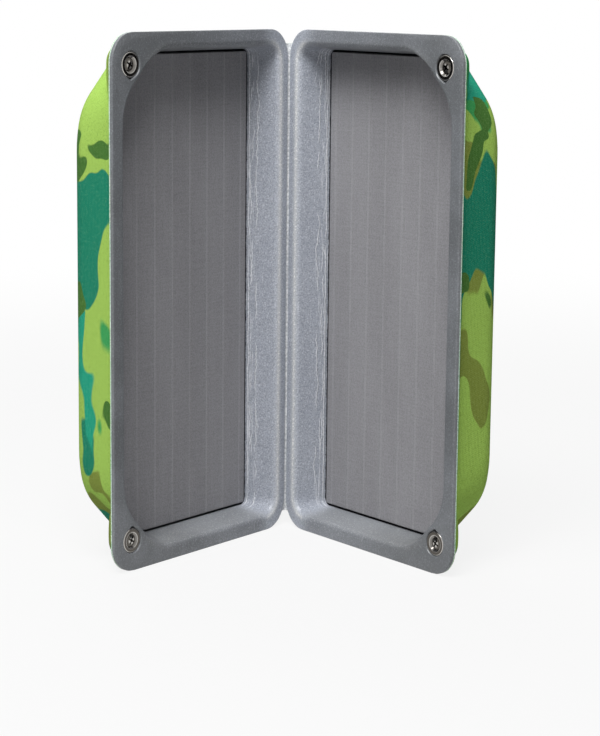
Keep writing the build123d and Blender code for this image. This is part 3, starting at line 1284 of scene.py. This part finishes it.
class HalfForm:
    """Surfaces of one half, in its own frame."""

    def __init__(self, place: Placement, sizes: HalfSizes, counts: Counts) -> None:
        """Measures the half's CAD nodes and lays out its outlines.

        Args:
            place: Where the half stands.
            sizes: Sizes of the half.
            counts: Columns round it.
        """
        self.sizes = sizes
        side = place.side.value
        near, far = place.reach(f"{side}_shell", place.across)
        self.face = place.reach(f"{side}_shell", place.inward)[0]
        self.fabric_face, self.back = place.reach(f"{side}_cover", place.inward)
        self.panel_face, self.panel_base = place.reach(f"{side}_panel", place.inward)
        self.plate = Plate(near, far, place.length)
        radius = sizes.flange_radius
        self.rim = Outline(self.plate, 0, 0, 0, radius * (ROOT_TWO - 1), radius, radius)
        self.foot = Outline(self.plate, *sizes.foot)
        self.back_line = Outline(self.plate, *sizes.back)
        self.lip = Outline(self.plate, *sizes.lip)
        self.pocket = Outline(self.plate, *sizes.pocket)
        middle = [(low + high) / 2 for low, high in zip(sizes.foot, sizes.back)]
        self.outside_columns = Columns(Outline(self.plate, *middle), counts)
        self.inside_columns = Columns(self.lip, counts)

    def outside(self, inset: float) -> list[Bend]:
        """Profile of the outside, from the flange's edge to the middle of the back.

        Args:
            inset: How far inside the cover's face the surface lies.

        Returns:
            The profile's bends.
        """
        sizes, columns = self.sizes, self.outside_columns
        level = self.fabric_face + sizes.fabric - inset
        top = self.back - inset
        foot = columns.meet(self.foot, inset)
        back = columns.meet(self.back_line, inset)
        width = -self.rim.distance(foot)
        draft = tan(radians(sizes.lobe_draft))
        room = width - sizes.lobe_inset - inset - sizes.lobe_land
        share = levelled(np.maximum(room, 0) / draft / sizes.lobe_rise) * self._lobe_mask(foot)
        rise = sizes.lobe_rise * share
        start = np.minimum(sizes.lobe_inset + inset, sizes.lobe_share * width)
        lobe = columns.meet(self.rim, start + rise * draft)
        wall = foot + (back - foot) * (rise / (top - level))[:, None]
        middle = columns.meet(self.back_line, sizes.back_inset)
        valley_round = sizes.foot_round + inset + sizes.valley_round * share
        back_round = (sizes.back_round - inset) / self._shear(self.back_line, back)
        least = sizes.least_round
        return [
            Bend(at_depth(columns.meet(self.rim), level), sizes.rim_round, rings=3),
            Bend(at_depth(columns.meet(self.rim, start), level), share + least, rings=3, lead=1),
            Bend(at_depth(lobe, level + rise), sizes.lobe_round * share + least, rings=6, lead=2),
            Bend(at_depth(wall, level + rise), valley_round, rings=7, lead=3),
            Bend(at_depth(back, top), back_round, rings=12, lead=7),
            Bend(at_depth(middle, top), stop=sizes.back_share),
        ]

    def _lobe_mask(self, points: np.ndarray) -> np.ndarray:
        """Finds where the lobes rise along the body's foot.

        Args:
            points: Points of the foot.

        Returns:
            Share of a lobe's height at each: 1 in the outer corners.
        """
        from_outer = self.plate.far - points[:, 0]
        from_end = np.minimum(points[:, 1], self.plate.length - points[:, 1])
        return 1 - smooth_step(*self.sizes.lobe_end, np.maximum(from_outer, from_end))

    def _shear(self, outline: Outline, points: np.ndarray, step: float = 0.01) -> np.ndarray:
        """Compares the columns with an outline's own normals.

        Args:
            outline: The outline.
            points: Where each column crosses it.
            step: Distance over which the slope is measured.

        Returns:
            Cosine of the angle between them.
        """
        normals = self.outside_columns.normals
        slope = outline.distance(points + step * normals) - outline.distance(points - step * normals)
        return np.clip(slope / (2 * step), self.sizes.least_shear, 1)

    def inside(self) -> list[Bend]:
        """Profile of the inside, from the middle of the pocket's floor to the flange's edge.

        Returns:
            The profile's bends.
        """
        sizes, columns = self.sizes, self.inside_columns
        floor = self.panel_base + sizes.floor_gap
        broad = 1 - smooth_step(*sizes.lip_facing, columns.normals[:, 0])
        rounding = sizes.lip_outer_round + broad * (sizes.lip_round - sizes.lip_outer_round)
        lip = columns.meet(self.lip)
        land = lip + (rounding + sizes.lip_land)[:, None] * columns.normals
        pocket = columns.meet(self.pocket)
        edge = self.outside_columns.meet(self.rim)
        return [
            Bend(at_depth(columns.meet(self.pocket, sizes.floor_inset), floor)),
            Bend(at_depth(pocket, floor), sizes.floor_round, rings=2, lead=1),
            Bend(at_depth(pocket, self.panel_face), sizes.pocket_round, rings=2, lead=2),
            Bend(at_depth(lip, self.face), rounding, rings=10, lead=6),
            Bend(at_depth(land, self.face), lead=1),
            Bend(at_depth(edge, self.face), sizes.rim_round, rings=3, lead=3),
        ]


@dataclass(frozen=True)
class SkinMarks:
    """Where the foam's skin is creased and paler, and where highlights are painted on it. A pair of
    distances, in millimetres, is where a mark starts and stops to change, or a highlight's middle and
    width, from the mouth's outline outwards.

    Args:
        by_hinge: From the hinge-side edge, where the marks of that side fade.
        crease_depth: Depth from the flange, where the creases grow to their full strength.
        wall_fade: From the hinge-side edge, where the paleness of the wall by the hinge fades: partly
            stretched foam, partly painted sheen.
        floor_fade: The same for the slighter paleness of the end walls, partly stretch and partly painted
            sheen.
        wall_share: How much of the paleness is the wall's.
        crest_highlight: Middle and width of the painted highlight along the lip by the hinge.
        by_end: From an end, where the marks of that side fade.
        end_highlight: Middle and width of the painted highlight along an end's lip.
        end_strength: How strongly that one shows.
        below: How far below the panel's face the skin is still marked.
    """

    by_hinge: tuple[float, float] = (9.0, 13.0)
    crease_depth: tuple[float, float] = (3.0, 6.0)
    wall_fade: tuple[float, float] = (8.0, 18.0)
    floor_fade: tuple[float, float] = (15.0, 85.0)
    wall_share: float = 0.7
    crest_highlight: tuple[float, float] = (1.4, 0.85)
    by_end: tuple[float, float] = (9.0, 13.0)
    end_highlight: tuple[float, float] = (-0.4, 1.8)
    end_strength: float = 0.22
    below: float = 0.3

    def marks(self, form: HalfForm, point: Vector) -> dict[str, float]:
        """Finds how a point of the skin is marked.

        Args:
            form: Surfaces of the half.
            point: The point, in the half's own frame.

        Returns:
            Strength of each mark, by its name.
        """
        across, along, depth = point
        from_edge = across - form.plate.near
        from_end = min(along, form.plate.length - along)
        outside = float(form.lip.distance(np.array([[across, along]]))[0])
        near = 1 - smooth_step(*self.by_hinge, from_edge)
        by_end = (1 - smooth_step(*self.by_end, from_end)) * (1 - near)
        wall = 1 - smooth_step(*self.wall_fade, from_edge)
        floor = 1 - smooth_step(*self.floor_fade, from_edge)
        # Fainter painted highlight along the lips at the ends.
        end_highlight = self.end_strength * by_end * hump(outside, *self.end_highlight)
        return {
            "crease": near * smooth_step(*self.crease_depth, depth - form.face),
            # Paler skin: partly stretched foam, partly painted sheen.
            "stretch": self.wall_share * wall + (1 - self.wall_share) * floor,
            # Painted highlight along the lips by the hinge and at the ends.
            "crest_highlight": near * hump(outside, *self.crest_highlight) + end_highlight,
        }


class HalfShell:
    """Moulded foam shell of a half and the knit cover on it."""

    def __init__(self, place: Placement, form: HalfForm) -> None:
        """Holds what the pieces are built from.

        Args:
            place: Where the half stands.
            form: Its surfaces.
        """
        self.place = place
        self.form = form
        self.side = place.side.value

    def shell(self, foam: bpy.types.Material) -> bpy.types.Object:
        """Builds the foam shell.

        Args:
            foam: Finish of the foam.

        Returns:
            The piece.
        """
        form = self.form
        edge = form.outside_columns.meet(form.rim)
        outer = form.outside(form.sizes.fabric)
        outer[0] = Bend(at_depth(edge, form.fabric_face))
        skin = Skin(profile_rings([*form.inside(), *outer]))
        skin.cap()
        self._mark(skin.mesh, SkinMarks())
        skin.mesh.transform(self.place.matrix())
        piece = finish_piece(f"{self.side}_foam_shell", skin.mesh, [foam])
        for end in End:
            carve(piece, self._pocket_cutter(end))
        return piece

    def _mark(self, mesh: bmesh.types.BMesh, wear: SkinMarks) -> None:
        """Marks where the skin is creased and paler and where highlights are painted on it, and lays out
        its coordinates.

        Args:
            mesh: Mesh of the shell, in the half's own frame.
            wear: Where the marks lie.
        """
        form = self.form
        names = ("crease", "stretch", "crest_highlight")
        layers = {name: mesh.verts.layers.float.new(name) for name in names}
        for vertex in mesh.verts:
            if vertex.co.z <= form.panel_face + wear.below:
                for name, strength in wear.marks(form, vertex.co).items():
                    vertex[layers[name]] = float(strength)
        shift = CREASES_AT[self.place.side]
        lay_cloth(mesh, lambda vertex: ((vertex.co.z - form.face) * MM, vertex.co.y * MM + shift))

    def _pocket_cutter(self, end: End) -> bpy.types.Object:
        """Shape that cuts a magnet's pocket, flared at its mouth, with a finger notch.

        Args:
            end: End of the half where the magnet sits.

        Returns:
            The cutter.
        """
        sizes, face = self.form.sizes, self.form.face
        node = f"{self.side}_{end.value}_magnet"
        near, far = self.place.reach(node, self.place.across)
        floor = self.place.reach(node, self.place.inward)[1]
        radius = (far - near) / 2 + sizes.magnet_clearance
        above = face - sizes.mouth_rise
        profile = [
            (0, floor),
            (radius, floor),
            (radius, face + sizes.mouth_depth),
            (radius + sizes.mouth_flare, face),
            (radius + 2 * sizes.mouth_flare, above),
            (0, above),
        ]
        mesh = lathe(profile, 64)
        way = self._notch_way(end)
        for vertex in mesh.verts:
            towards = way * vertex.co.y / max(vertex.co.xy.length, TINY)
            if towards > 0:
                vertex.co.y += way * sizes.notch * towards**sizes.notch_point
        return self.stand(mesh, node, "pocket_cutter")

    def _notch_way(self, end: End) -> int:
        """Way along the half's own Y from a magnet to the middle of the half."""
        return 1 if (end is End.LOWER) == (self.place.side is Side.LEFT) else -1

    def stand(
        self, mesh: bmesh.types.BMesh, node: str, name: str, finishes: Sequence[bpy.types.Material] = ()
    ) -> bpy.types.Object:
        """Moves a mesh made round Z to a magnet's axis.

        Args:
            mesh: The mesh, in millimetres.
            node: CAD node on that axis.
            name: Name of the piece.
            finishes: Its materials.

        Returns:
            The piece.
        """
        near, far = self.place.reach(node, self.place.across)
        low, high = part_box(node)
        height = ((low + high) / 2).z / MM
        along = height if self.place.side is Side.LEFT else self.place.length - height
        mesh.transform(self.place.matrix() @ Matrix.Translation(((near + far) / 2, along, 0)))
        return finish_piece(name, mesh, finishes)

    def cover(self, knit: bpy.types.Material, cut: bpy.types.Material) -> bpy.types.Object:
        """Builds the knit cover.

        Args:
            knit: Finish of the knit.
            cut: Finish of its cut edge.

        Returns:
            The piece.
        """
        form = self.form
        inner = form.outside(form.sizes.fabric)
        inner[0] = Bend(inner[0].points)
        back = profile_rings(inner)[::-1]
        front = profile_rings([inner[0], *form.outside(0)])[1:]
        skin = Skin([*back, *front])
        skin.cap()
        for face in skin.steps[len(back) - 1]:
            face.material_index = 1
        self._lay_knit(skin)
        skin.mesh.transform(self.place.matrix())
        return finish_piece(f"{self.side}_knit_cover", skin.mesh, [knit, cut])

    def _lay_knit(self, skin: Skin) -> None:
        """Lays the cloth's own coordinates over the cover, as if it was flat before moulding.

        Args:
            skin: The cover, in the half's own frame.
        """
        shift = PRINT_AT[self.place.side]
        flat = {}
        for ring in skin.rings:
            for vertex, normal in zip(ring, self.form.outside_columns.normals):
                drop = self.form.back - vertex.co.z
                across = (vertex.co.x + normal[0] * drop) * MM + shift
                flat[vertex] = (across, (vertex.co.y + normal[1] * drop) * MM)
        lay_cloth(skin.mesh, flat.__getitem__)


# --------------------------------------------------------------------------------------------------------
# Panels, hardware and hinge


@dataclass(frozen=True)
class SlitPanel:
    """Slit foam panel of a half, with sizes in millimetres.

    Args:
        place: Where the half stands.
        form: Surfaces of the half.
        gap: Between the panel and its pocket.
        pitch: Between slits.
        first: From the hinge-side edge to the first slit.
        slit: Width of a slit.
        slit_depth: Depth of a slit.
        uncut: Left uncut at each end.
        edge_round: Rounding of the panel's edges.
        corner_round: Radius of the two corners by the hinge.
        face_inset: From the panel's edge to its face's first ring.
        sharp: Angle past which its edges are shaded sharp, in degrees.
    """

    place: Placement
    form: HalfForm
    gap: float = 0.9
    pitch: float = 10.4
    first: float = 3.6
    slit: float = 0.14
    slit_depth: float = 4.0
    uncut: float = 2.0
    edge_round: float = 0.3
    corner_round: float = 1.0
    face_inset: float = 0.8
    sharp: float = 30.0

    @property
    def outline(self) -> Outline:
        """Pocket's outline with the corners that the panel has by the hinge."""
        return replace(self.form.pocket, hinge_radius=self.gap + self.corner_round)

    @property
    def edge(self) -> float:
        """From the hinge's axis to the panel's hinge-side edge."""
        return self.form.plate.near + self.form.pocket.hinge + self.gap

    def finish(self) -> SlitFoam:
        """Foam of the panel, with its paler lips where the slits are."""
        name = f"{self.place.side.value}_slit_foam"
        return SlitFoam(name, self.pitch * MM, (self.edge + self.first) * MM)

    def build(self) -> bpy.types.Object:
        """Builds the panel.

        Returns:
            The piece.
        """
        form = self.form
        side = form.inside_columns.meet(self.outline, self.gap)
        inner = form.inside_columns.meet(self.outline, self.gap + self.face_inset)
        bends = [
            Bend(at_depth(inner, form.panel_face)),
            Bend(at_depth(side, form.panel_face), self.edge_round, rings=4),
            Bend(at_depth(side, form.panel_base)),
        ]
        skin = Skin(profile_rings(bends))
        skin.cap()
        mesh = skin.mesh
        self._cut_slits(mesh)
        face = form.panel_face
        lay_cloth(mesh, lambda vertex: ((vertex.co.x + (vertex.co.z - face)) * MM, vertex.co.y * MM))
        mesh.transform(self.place.matrix())
        foam = self.finish().material()
        return finish_piece(f"{self.place.side.value}_fly_panel", mesh, [foam], self.sharp)

    def _cut_slits(self, mesh: bmesh.types.BMesh) -> None:
        """Cuts thin strips in the panel's face and sinks them.

        Args:
            mesh: Mesh of the panel, in the half's own frame.
        """
        form = self.form
        last = form.plate.far - form.pocket.outer - self.gap
        lines = np.arange(self.edge + self.first, last - self.slit, self.pitch)
        reach = form.pocket.end + self.gap + self.uncut
        ends = (reach, form.plate.length - reach)
        cuts = [((line + side * self.slit / 2, 0, 0), (1, 0, 0)) for line in lines for side in (-1, 1)]
        cuts += [((0, end, 0), (0, 1, 0)) for end in ends]
        top = form.panel_face + CLOSE
        for point, normal in cuts:
            faces = [face for face in mesh.faces if all(vertex.co.z < top for vertex in face.verts)]
            edges = {edge for face in faces for edge in face.edges}
            verts = {vertex for face in faces for vertex in face.verts}
            geometry = [*verts, *edges, *faces]
            bmesh.ops.bisect_plane(mesh, geom=geometry, plane_co=point, plane_no=normal, dist=ON_PLANE)
        strips = []
        for face in mesh.faces:
            middle = face.calc_center_bounds()
            if ends[0] < middle.y < ends[1] and middle.z < top and self._narrow(face):
                strips.append(face)
        sunk = bmesh.ops.extrude_face_region(mesh, geom=strips)["geom"]
        verts = [item for item in sunk if isinstance(item, bmesh.types.BMVert)]
        bmesh.ops.translate(mesh, verts=verts, vec=(0, 0, self.slit_depth))
        bmesh.ops.delete(mesh, geom=strips, context="FACES")

    def _narrow(self, face: bmesh.types.BMFace) -> bool:
        """Whether a face is a strip between the two sides of a slit."""
        span = [vertex.co.x for vertex in face.verts]
        return abs(max(span) - min(span) - self.slit) < CLOSE


@dataclass(frozen=True)
class CornerHardware:
    """Ring magnet and screw in a corner, with sizes in millimetres.

    Args:
        shell: Half shell that holds them.
        edge: Rounding of the magnet.
        edge_turns: Turns of the magnet's rounding where it has a ring, in radians.
        bore: Diameter of the magnet's bore.
        mouth_gap: Between the screw's head and the countersink's mouth.
        mouth_edge: Width and depth of the mouth's bevel.
        land: From the mouth, and from the rounding, to the next ring of the magnet's face.
        head: Diameter of the screw's head.
        shank: Diameter of the screw's shank.
        dome: How far the screw's head crowns.
        dome_turns: Turns of the crown where it has a ring, in radians.
        cross: Length, width and depth of the cross recess.
        cross_turn: How far the cross is turned, in radians.
        magnet_steps: Faces round the magnet.
        screw_steps: Faces round the screw.
        highlight_share: How far into the magnet's rounding its painted highlight lies, in shares of the
            rounding.
        magnet_highlight: Width of the painted highlight there, and of that on the magnet's mouth.
        screw_highlight: Width of the painted highlight round the screw's head.
        cross_highlight: Radius and width of the painted highlight ring over the cross.
    """

    shell: HalfShell
    edge: float = 0.45
    edge_turns: tuple[float, ...] = (0.3, 0.6, 0.9, 1.2)
    bore: float = 3.4
    mouth_gap: float = 0.33
    mouth_edge: tuple[float, float] = (0.12, 0.1)
    land: tuple[float, float] = (0.3, 0.15)
    head: float = 5.4
    shank: float = 2.6
    dome: float = 0.8
    dome_turns: tuple[float, ...] = (0.35, 0.7, 1.0, 1.25)
    cross: tuple[float, float, float] = (3.1, 0.6, 1.0)
    cross_turn: float = 0.5
    magnet_steps: int = 72
    screw_steps: int = 48
    highlight_share: float = 0.4
    magnet_highlight: tuple[float, float] = (0.2, 0.12)
    screw_highlight: float = 0.1
    cross_highlight: tuple[float, float] = (0.9, 0.5)

    def magnet(self, end: End, metal: bpy.types.Material) -> bpy.types.Object:
        """Builds the ring magnet.

        Args:
            end: End of the half where it sits.
            metal: Its finish.

        Returns:
            The piece.
        """
        shell, edge = self.shell, self.edge
        node = f"{shell.side}_{end.value}_magnet"
        face, base = shell.place.reach(node, shell.place.inward)
        near, far = shell.place.reach(node, shell.place.across)
        radius, bore = (far - near) / 2, self.bore / 2
        flat = radius - edge
        mouth = self.head / 2 + self.mouth_gap
        rim = mouth + self.mouth_edge[0]
        profile = [
            (rim, face),
            (mouth + self.land[0], face),
            (flat - self.land[1], face),
            (flat, face),
            *[(flat + edge * sin(turn), face + edge - edge * cos(turn)) for turn in self.edge_turns],
            (radius, face + edge),
            (radius, base),
            (bore, base),
            (bore, face + mouth - bore),
            (mouth, face + self.mouth_edge[1]),
            (rim, face),
        ]
        mesh = lathe(profile, self.magnet_steps)
        # Painted highlights on the magnet's rounded rim and on its mouth.
        on_edge, on_mouth = self.magnet_highlight
        self._mark_highlights(mesh, (radius - self.highlight_share * edge, on_edge), (rim, on_mouth))
        return shell.stand(mesh, node, f"{shell.side}_{end.value}_ring_magnet", [metal])

    def screw(self, end: End, metal: bpy.types.Material) -> bpy.types.Object:
        """Builds the countersunk screw.

        Args:
            end: End of the half where it sits.
            metal: Its finish.

        Returns:
            The piece.
        """
        shell, dome = self.shell, self.dome
        node = f"{shell.side}_{end.value}_screw"
        top, tip = shell.place.reach(node, shell.place.inward)
        head, shank = self.head / 2, self.shank / 2
        profile = [
            (0, top),
            *[(head * sin(turn), top + dome * (1 - cos(turn))) for turn in self.dome_turns],
            (head, top + dome),
            (shank, top + dome + head - shank),
            (shank, tip),
            (0, tip),
        ]
        mesh = lathe(profile, self.screw_steps)
        # Painted highlights round the screw's head and over its cross.
        self._mark_highlights(mesh, (head, self.screw_highlight), self.cross_highlight)
        piece = shell.stand(mesh, node, f"{shell.side}_{end.value}_cross_screw", [metal])
        length, width, depth = self.cross
        for turn in (self.cross_turn, self.cross_turn + pi / 2):
            slot = bmesh.new()
            bmesh.ops.create_cube(slot, size=1.0)
            scale = Matrix.Diagonal((length, width, 2 * depth, 1))
            slot.transform(Matrix.Translation((0, 0, top)) @ Matrix.Rotation(turn, 4, "Z") @ scale)
            carve(piece, shell.stand(slot, node, "cross_cutter"))
        return piece

    @staticmethod
    def _mark_highlights(mesh: bmesh.types.BMesh, *bands: tuple[float, float]) -> None:
        """Marks the rings where highlights are painted.

        Args:
            mesh: Mesh made round Z.
            bands: Radius and width of each ring.
        """
        rim_highlight = mesh.verts.layers.float.new("rim_highlight")
        for vertex in mesh.verts:
            away = vertex.co.xy.length
            vertex[rim_highlight] = max(hump(away, *band) for band in bands)


@dataclass(frozen=True)
class HingeLayer:
    """One layer of the living hinge.

    Args:
        name: Name of the piece.
        node: CAD node that it stands for.
        slot: Material slot.
        inner: Radius of its inner face about the hinge's axis, in millimetres.
        outer: Radius of its outer face.
    """

    name: str
    node: str
    slot: str
    inner: float
    outer: float


@dataclass(frozen=True)
class LivingHinge:
    """Strip of knit and foam film that joins the halves, with sizes in millimetres.

    Args:
        place: Where a half stands.
        spread: Half of the width over which the strip bends; not used.
        reach: From the axis to each flange's edge.
        bends: Points round the strip's bend.
        steps: Rings along the strip.
        knit: Layer of knit.
        film: Layer of foam.
    """

    place: Placement
    spread: float = 1.3
    reach: float = 0.8
    bends: int = 15
    steps: int = 60
    knit: HingeLayer = HingeLayer("hinge_knit_strip", "hinge_fabric", "camouflage_knit", 1.45, 2.15)
    film: HingeLayer = HingeLayer("hinge_foam_film", "hinge_foam", "shell_foam", 0.95, 1.45)

    def strip(self, layer: HingeLayer, finish: bpy.types.Material) -> bpy.types.Object:
        """Builds one layer of the strip, which bends between the halves.

        Args:
            layer: The layer.
            finish: Its material.

        Returns:
            The piece.
        """
        low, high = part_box(layer.node)
        mesh = bmesh.new()
        loop = self._face(layer.inner) + self._face(layer.outer)[::-1]
        verts = [mesh.verts.new((x, y, 0)) for x, y in loop]
        edges = [mesh.edges.new(pair) for pair in zip(verts, verts[1:] + verts[:1])]
        rise = (high.z - low.z) / MM / self.steps
        bmesh.ops.contextual_create(mesh, geom=edges)
        for _ in range(self.steps):
            made = bmesh.ops.extrude_edge_only(mesh, edges=edges)["geom"]
            fresh = {item for item in made if isinstance(item, bmesh.types.BMVert)}
            lines = [item for item in made if isinstance(item, bmesh.types.BMEdge)]
            edges = [line for line in lines if all(vertex in fresh for vertex in line.verts)]
            bmesh.ops.translate(mesh, verts=list(fresh), vec=(0, 0, rise))
        bmesh.ops.contextual_create(mesh, geom=edges)
        lay_cloth(mesh, lambda vertex: (vertex.co.x * MM, vertex.co.z * MM))
        hinge = self.place.hinge
        mesh.transform(Matrix.Translation((hinge.x, hinge.y, low.z)) @ Matrix.Scale(MM, 4))
        piece = finish_piece(layer.name, mesh, [finish])
        spread = Vector((self.spread * MM, 0, 0))
        hinge - spread
        hinge + spread
        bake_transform(piece)
        return piece

    def _face(self, radius: float) -> list[tuple[float, float]]:
        """One face of a layer, seen along the hinge.

        Args:
            radius: Radius of its bend.

        Returns:
            Its points, from the left half to the right one.
        """
        turn = pi / 2 - self.place.lean
        across = radius * sin(turn) + self.reach * cos(turn)
        behind = radius * cos(turn) - self.reach * sin(turn)
        angles = np.linspace(-turn, turn, self.bends)
        bend = [(radius * sin(angle), radius * cos(angle)) for angle in angles]
        return [(-across, behind), *bend, (across, behind)]


# --------------------------------------------------------------------------------------------------------
# Stage, light and camera


@dataclass(frozen=True)
class Viewpoint:
    """Camera's place and lens.

    Args:
        position: From the foot of the hinge's axis, in metres.
        yaw: Turned to the right, in degrees.
        pitch: Tipped down, in degrees.
        roll: Turned about its own line of sight, in degrees.
        focal: Focal length, in shares of a pixel of the frame's height.
        frame_height: Height of the frame, in pixels.
        sensor: Height of the sensor, in millimetres.
    """

    position: tuple[float, float, float] = (0.0052, -0.8798, 0.2238)
    yaw: float = 0.03
    pitch: float = 10.18
    roll: float = 0.6
    focal: float = 2184.5
    frame_height: float = 736.0
    sensor: float = 36.0

    def build(self, hinge: Vector) -> None:
        """Adds the camera.

        Args:
            hinge: Foot of the hinge's axis.
        """
        data = bpy.data.cameras.new("camera")
        data.sensor_width = self.sensor
        data.lens = self.focal * self.sensor / self.frame_height
        camera = bpy.data.objects.new("camera", data)
        bpy.context.scene.collection.objects.link(camera)
        yaw, pitch, roll = radians(self.yaw), radians(self.pitch), radians(self.roll)
        ahead = Vector((sin(yaw) * cos(pitch), cos(yaw) * cos(pitch), -sin(pitch)))
        right = Vector((cos(yaw), -sin(yaw), 0))
        up = right.cross(ahead)
        right, up = right * cos(roll) + up * sin(roll), up * cos(roll) - right * sin(roll)
        turn = Matrix((right, up, -ahead)).transposed().to_4x4()
        camera.matrix_world = Matrix.Translation(hinge + Vector(self.position)) @ turn
        bpy.context.scene.camera = camera


@dataclass(frozen=True)
class SoftLamp:
    """Square area lamp aimed at the box.

    Args:
        name: Name of the lamp.
        turn: Which way it stands from the box, in degrees right of straight ahead.
        rise: How high it hangs, in degrees.
        size: Width of its face, in metres.
        power: Power in watts.
        distance: From the box, in metres.
    """

    name: str
    turn: float
    rise: float
    size: float
    power: float
    distance: float = 1.3

    def build(self, target: Vector) -> None:
        """Adds the lamp.

        Args:
            target: Point that it faces.
        """
        data = bpy.data.lights.new(self.name, "AREA")
        data.size = self.size
        data.energy = self.power
        lamp = bpy.data.objects.new(self.name, data)
        bpy.context.scene.collection.objects.link(lamp)
        turn, rise = radians(self.turn), radians(self.rise)
        away = Vector((sin(turn) * cos(rise), -cos(turn) * cos(rise), sin(rise)))
        lamp.location = target + self.distance * away
        lamp.rotation_euler = away.to_track_quat("Z", "Y").to_euler()


@dataclass(frozen=True)
class Studio:
    """Pale floor, soft light and white surroundings.

    Args:
        floor_tone: Colour of the floor where it reflects light on the box.
        speck_tone: Colour of the faint specks on it.
        specks: Cells to the metre and strength of the specks.
        floor_reach: From the floor's middle to its edges, in metres.
        lift: How much of the floor that is seen near the box is plain white.
        plain: From the box to where the rest starts and stops to turn white, in metres.
        world_strength: Strength of the world's light on the box.
        target: Point that the lamps face, in metres.
        lamps: The lamps.
    """

    floor_tone: tuple[float, float, float] = (0.5, 0.5, 0.5)
    speck_tone: tuple[float, float, float] = (0.8, 0.8, 0.8)
    specks: tuple[float, float] = (40.0, 0.05)
    floor_reach: float = 60.0
    lift: float = 0.86
    plain: tuple[float, float] = (0.3, 0.9)
    world_strength: float = 0.06
    target: tuple[float, float, float] = (0.0, 0.0, 0.1)
    lamps: tuple[SoftLamp, ...] = (
        SoftLamp("key_lamp", -9.0, 57.0, 0.6, 17.4),
        SoftLamp("high_lamp", -38.0, 50.0, 0.6, 6.0),
        SoftLamp("front_lamp", -8.0, 16.0, 0.5, 0.5),
        SoftLamp("back_left_lamp", -155.0, 40.0, 0.9, 6.0),
        SoftLamp("back_right_lamp", 165.0, 40.0, 0.9, 2.3),
    )

    def build(self) -> None:
        """Adds the floor, the lamps and the world."""
        self._floor()
        for lamp in self.lamps:
            lamp.build(Vector(self.target))
        world = bpy.data.worlds.new("studio")
        bpy.context.scene.world = world
        world.use_nodes = True
        sky = Paint("studio", world.node_tree)
        strength = self.world_strength + (1 - self.world_strength) * sky.seen()
        sky.end(sky.node("Background", Strength=strength), "World")
        bpy.context.scene.view_settings.view_transform = "Standard"

    def _floor(self) -> None:
        """Adds the floor, which shows white to the camera and keeps the box's shadow."""
        mesh = bmesh.new()
        bmesh.ops.create_grid(mesh, x_segments=2, y_segments=2, size=self.floor_reach)
        paint = Paint("floor")
        place = paint.place()
        cells, strength = self.specks
        tone = paint.mix(paint.noise(place, cells) * strength, self.floor_tone, self.speck_tone)
        lit = paint.node("BsdfDiffuse", Color=tone)
        glow = paint.node("Emission", Color=(1, 1, 1, 1), Strength=1.0)
        away = paint.node("VectorMath", {"operation": "LENGTH"}, output="Value", Vector=place)
        share = paint.seen() * (self.lift + (1 - self.lift) * away.step(*self.plain))
        paint.end(paint.node("MixShader", numbered={0: share, 1: lit, 2: glow}))
        finish_piece("floor", mesh, [paint.material])


# --------------------------------------------------------------------------------------------------------
# The whole box


@dataclass
class FlyBox:
    """The fly box, dressed piece by piece.

    Args:
        places: Where each half stands.
        nickel: Finish of the magnets.
        steel: Finish of the screws.
        film: Finish of the adhesive sheets.
        plastic: Finish of the anchors.
    """

    places: dict[Side, Placement]
    nickel: Metal = Metal("bright_nickel", "4a4641", 0.06)
    steel: Metal = Metal("zinc_steel", "57544f", 0.06)
    film: PlainPlastic = PlainPlastic("adhesive_film", "d8d2bc", 0.5)
    plastic: PlainPlastic = PlainPlastic("anchor_plastic", "26282a", 0.45)

    def build(self) -> None:
        """Builds every visible piece and finishes what stays of the CAD model."""
        forms = {side: HalfForm(place, HalfSizes(), Counts()) for side, place in self.places.items()}
        sample = forms[Side.LEFT]
        foam = MouldedFoam((sample.panel_face - sample.face) * MM).material()
        knit, cut = PrintedKnit().material(), CutEdge().material()
        nickel, steel = self.nickel.material(), self.steel.material()
        for side, place in self.places.items():
            half = HalfShell(place, forms[side])
            hardware = CornerHardware(half)
            body = f"{side.value}_half"
            self._ride(half.shell(foam), body, "shell_foam", f"{side.value}_shell")
            self._ride(half.cover(knit, cut), body, "camouflage_knit", f"{side.value}_cover")
            self._ride(SlitPanel(place, forms[side]).build(), body, "panel_foam", f"{side.value}_panel")
            for end in End:
                corner = f"{side.value}_{end.value}"
                self._ride(hardware.magnet(end, nickel), body, "magnet_nickel", f"{corner}_magnet")
                self._ride(hardware.screw(end, steel), body, "screw_steel", f"{corner}_screw")
        hinge = LivingHinge(self.places[Side.LEFT])
        for layer, finish in ((hinge.knit, knit), (hinge.film, PressedFilm().material())):
            self._report(hinge.strip(layer, finish), layer.slot, layer.node)
        self._dress_hidden()

    def _ride(self, piece: bpy.types.Object, body: str, slot: str, node: str) -> None:
        """Puts a piece on its body in place of its CAD node."""
        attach(piece, body)
        self._report(piece, slot, node)

    @staticmethod
    def _report(piece: bpy.types.Object, slot: str, node: str) -> None:
        """Hides the CAD node that a piece replaces, and reports the piece.

        Args:
            piece: The piece.
            slot: Its material slot; not used.
            node: The CAD node.
        """
        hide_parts(node)
        log.info("%s: %d faces", piece.name, len(piece.data.polygons))

    def _dress_hidden(self) -> None:
        """Gives the CAD nodes inside the box their materials."""
        finishes = {"adhesive": self.film.material(), "anchor": self.plastic.material()}
        for name, node in frame["nodes"].items():
            for kind, finish in finishes.items():
                if name.endswith(kind):
                    for slot in node.material_slots:
                        slot.material = finish


def main() -> None:
    """Builds the scene in order."""
    logging.basicConfig(level=logging.INFO, format="%(message)s")
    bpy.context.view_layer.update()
    places = placements()
    Viewpoint().build(places[Side.LEFT].hinge)
    Studio().build()
    FlyBox(places).build()


if __name__ == "__main__":
    main()
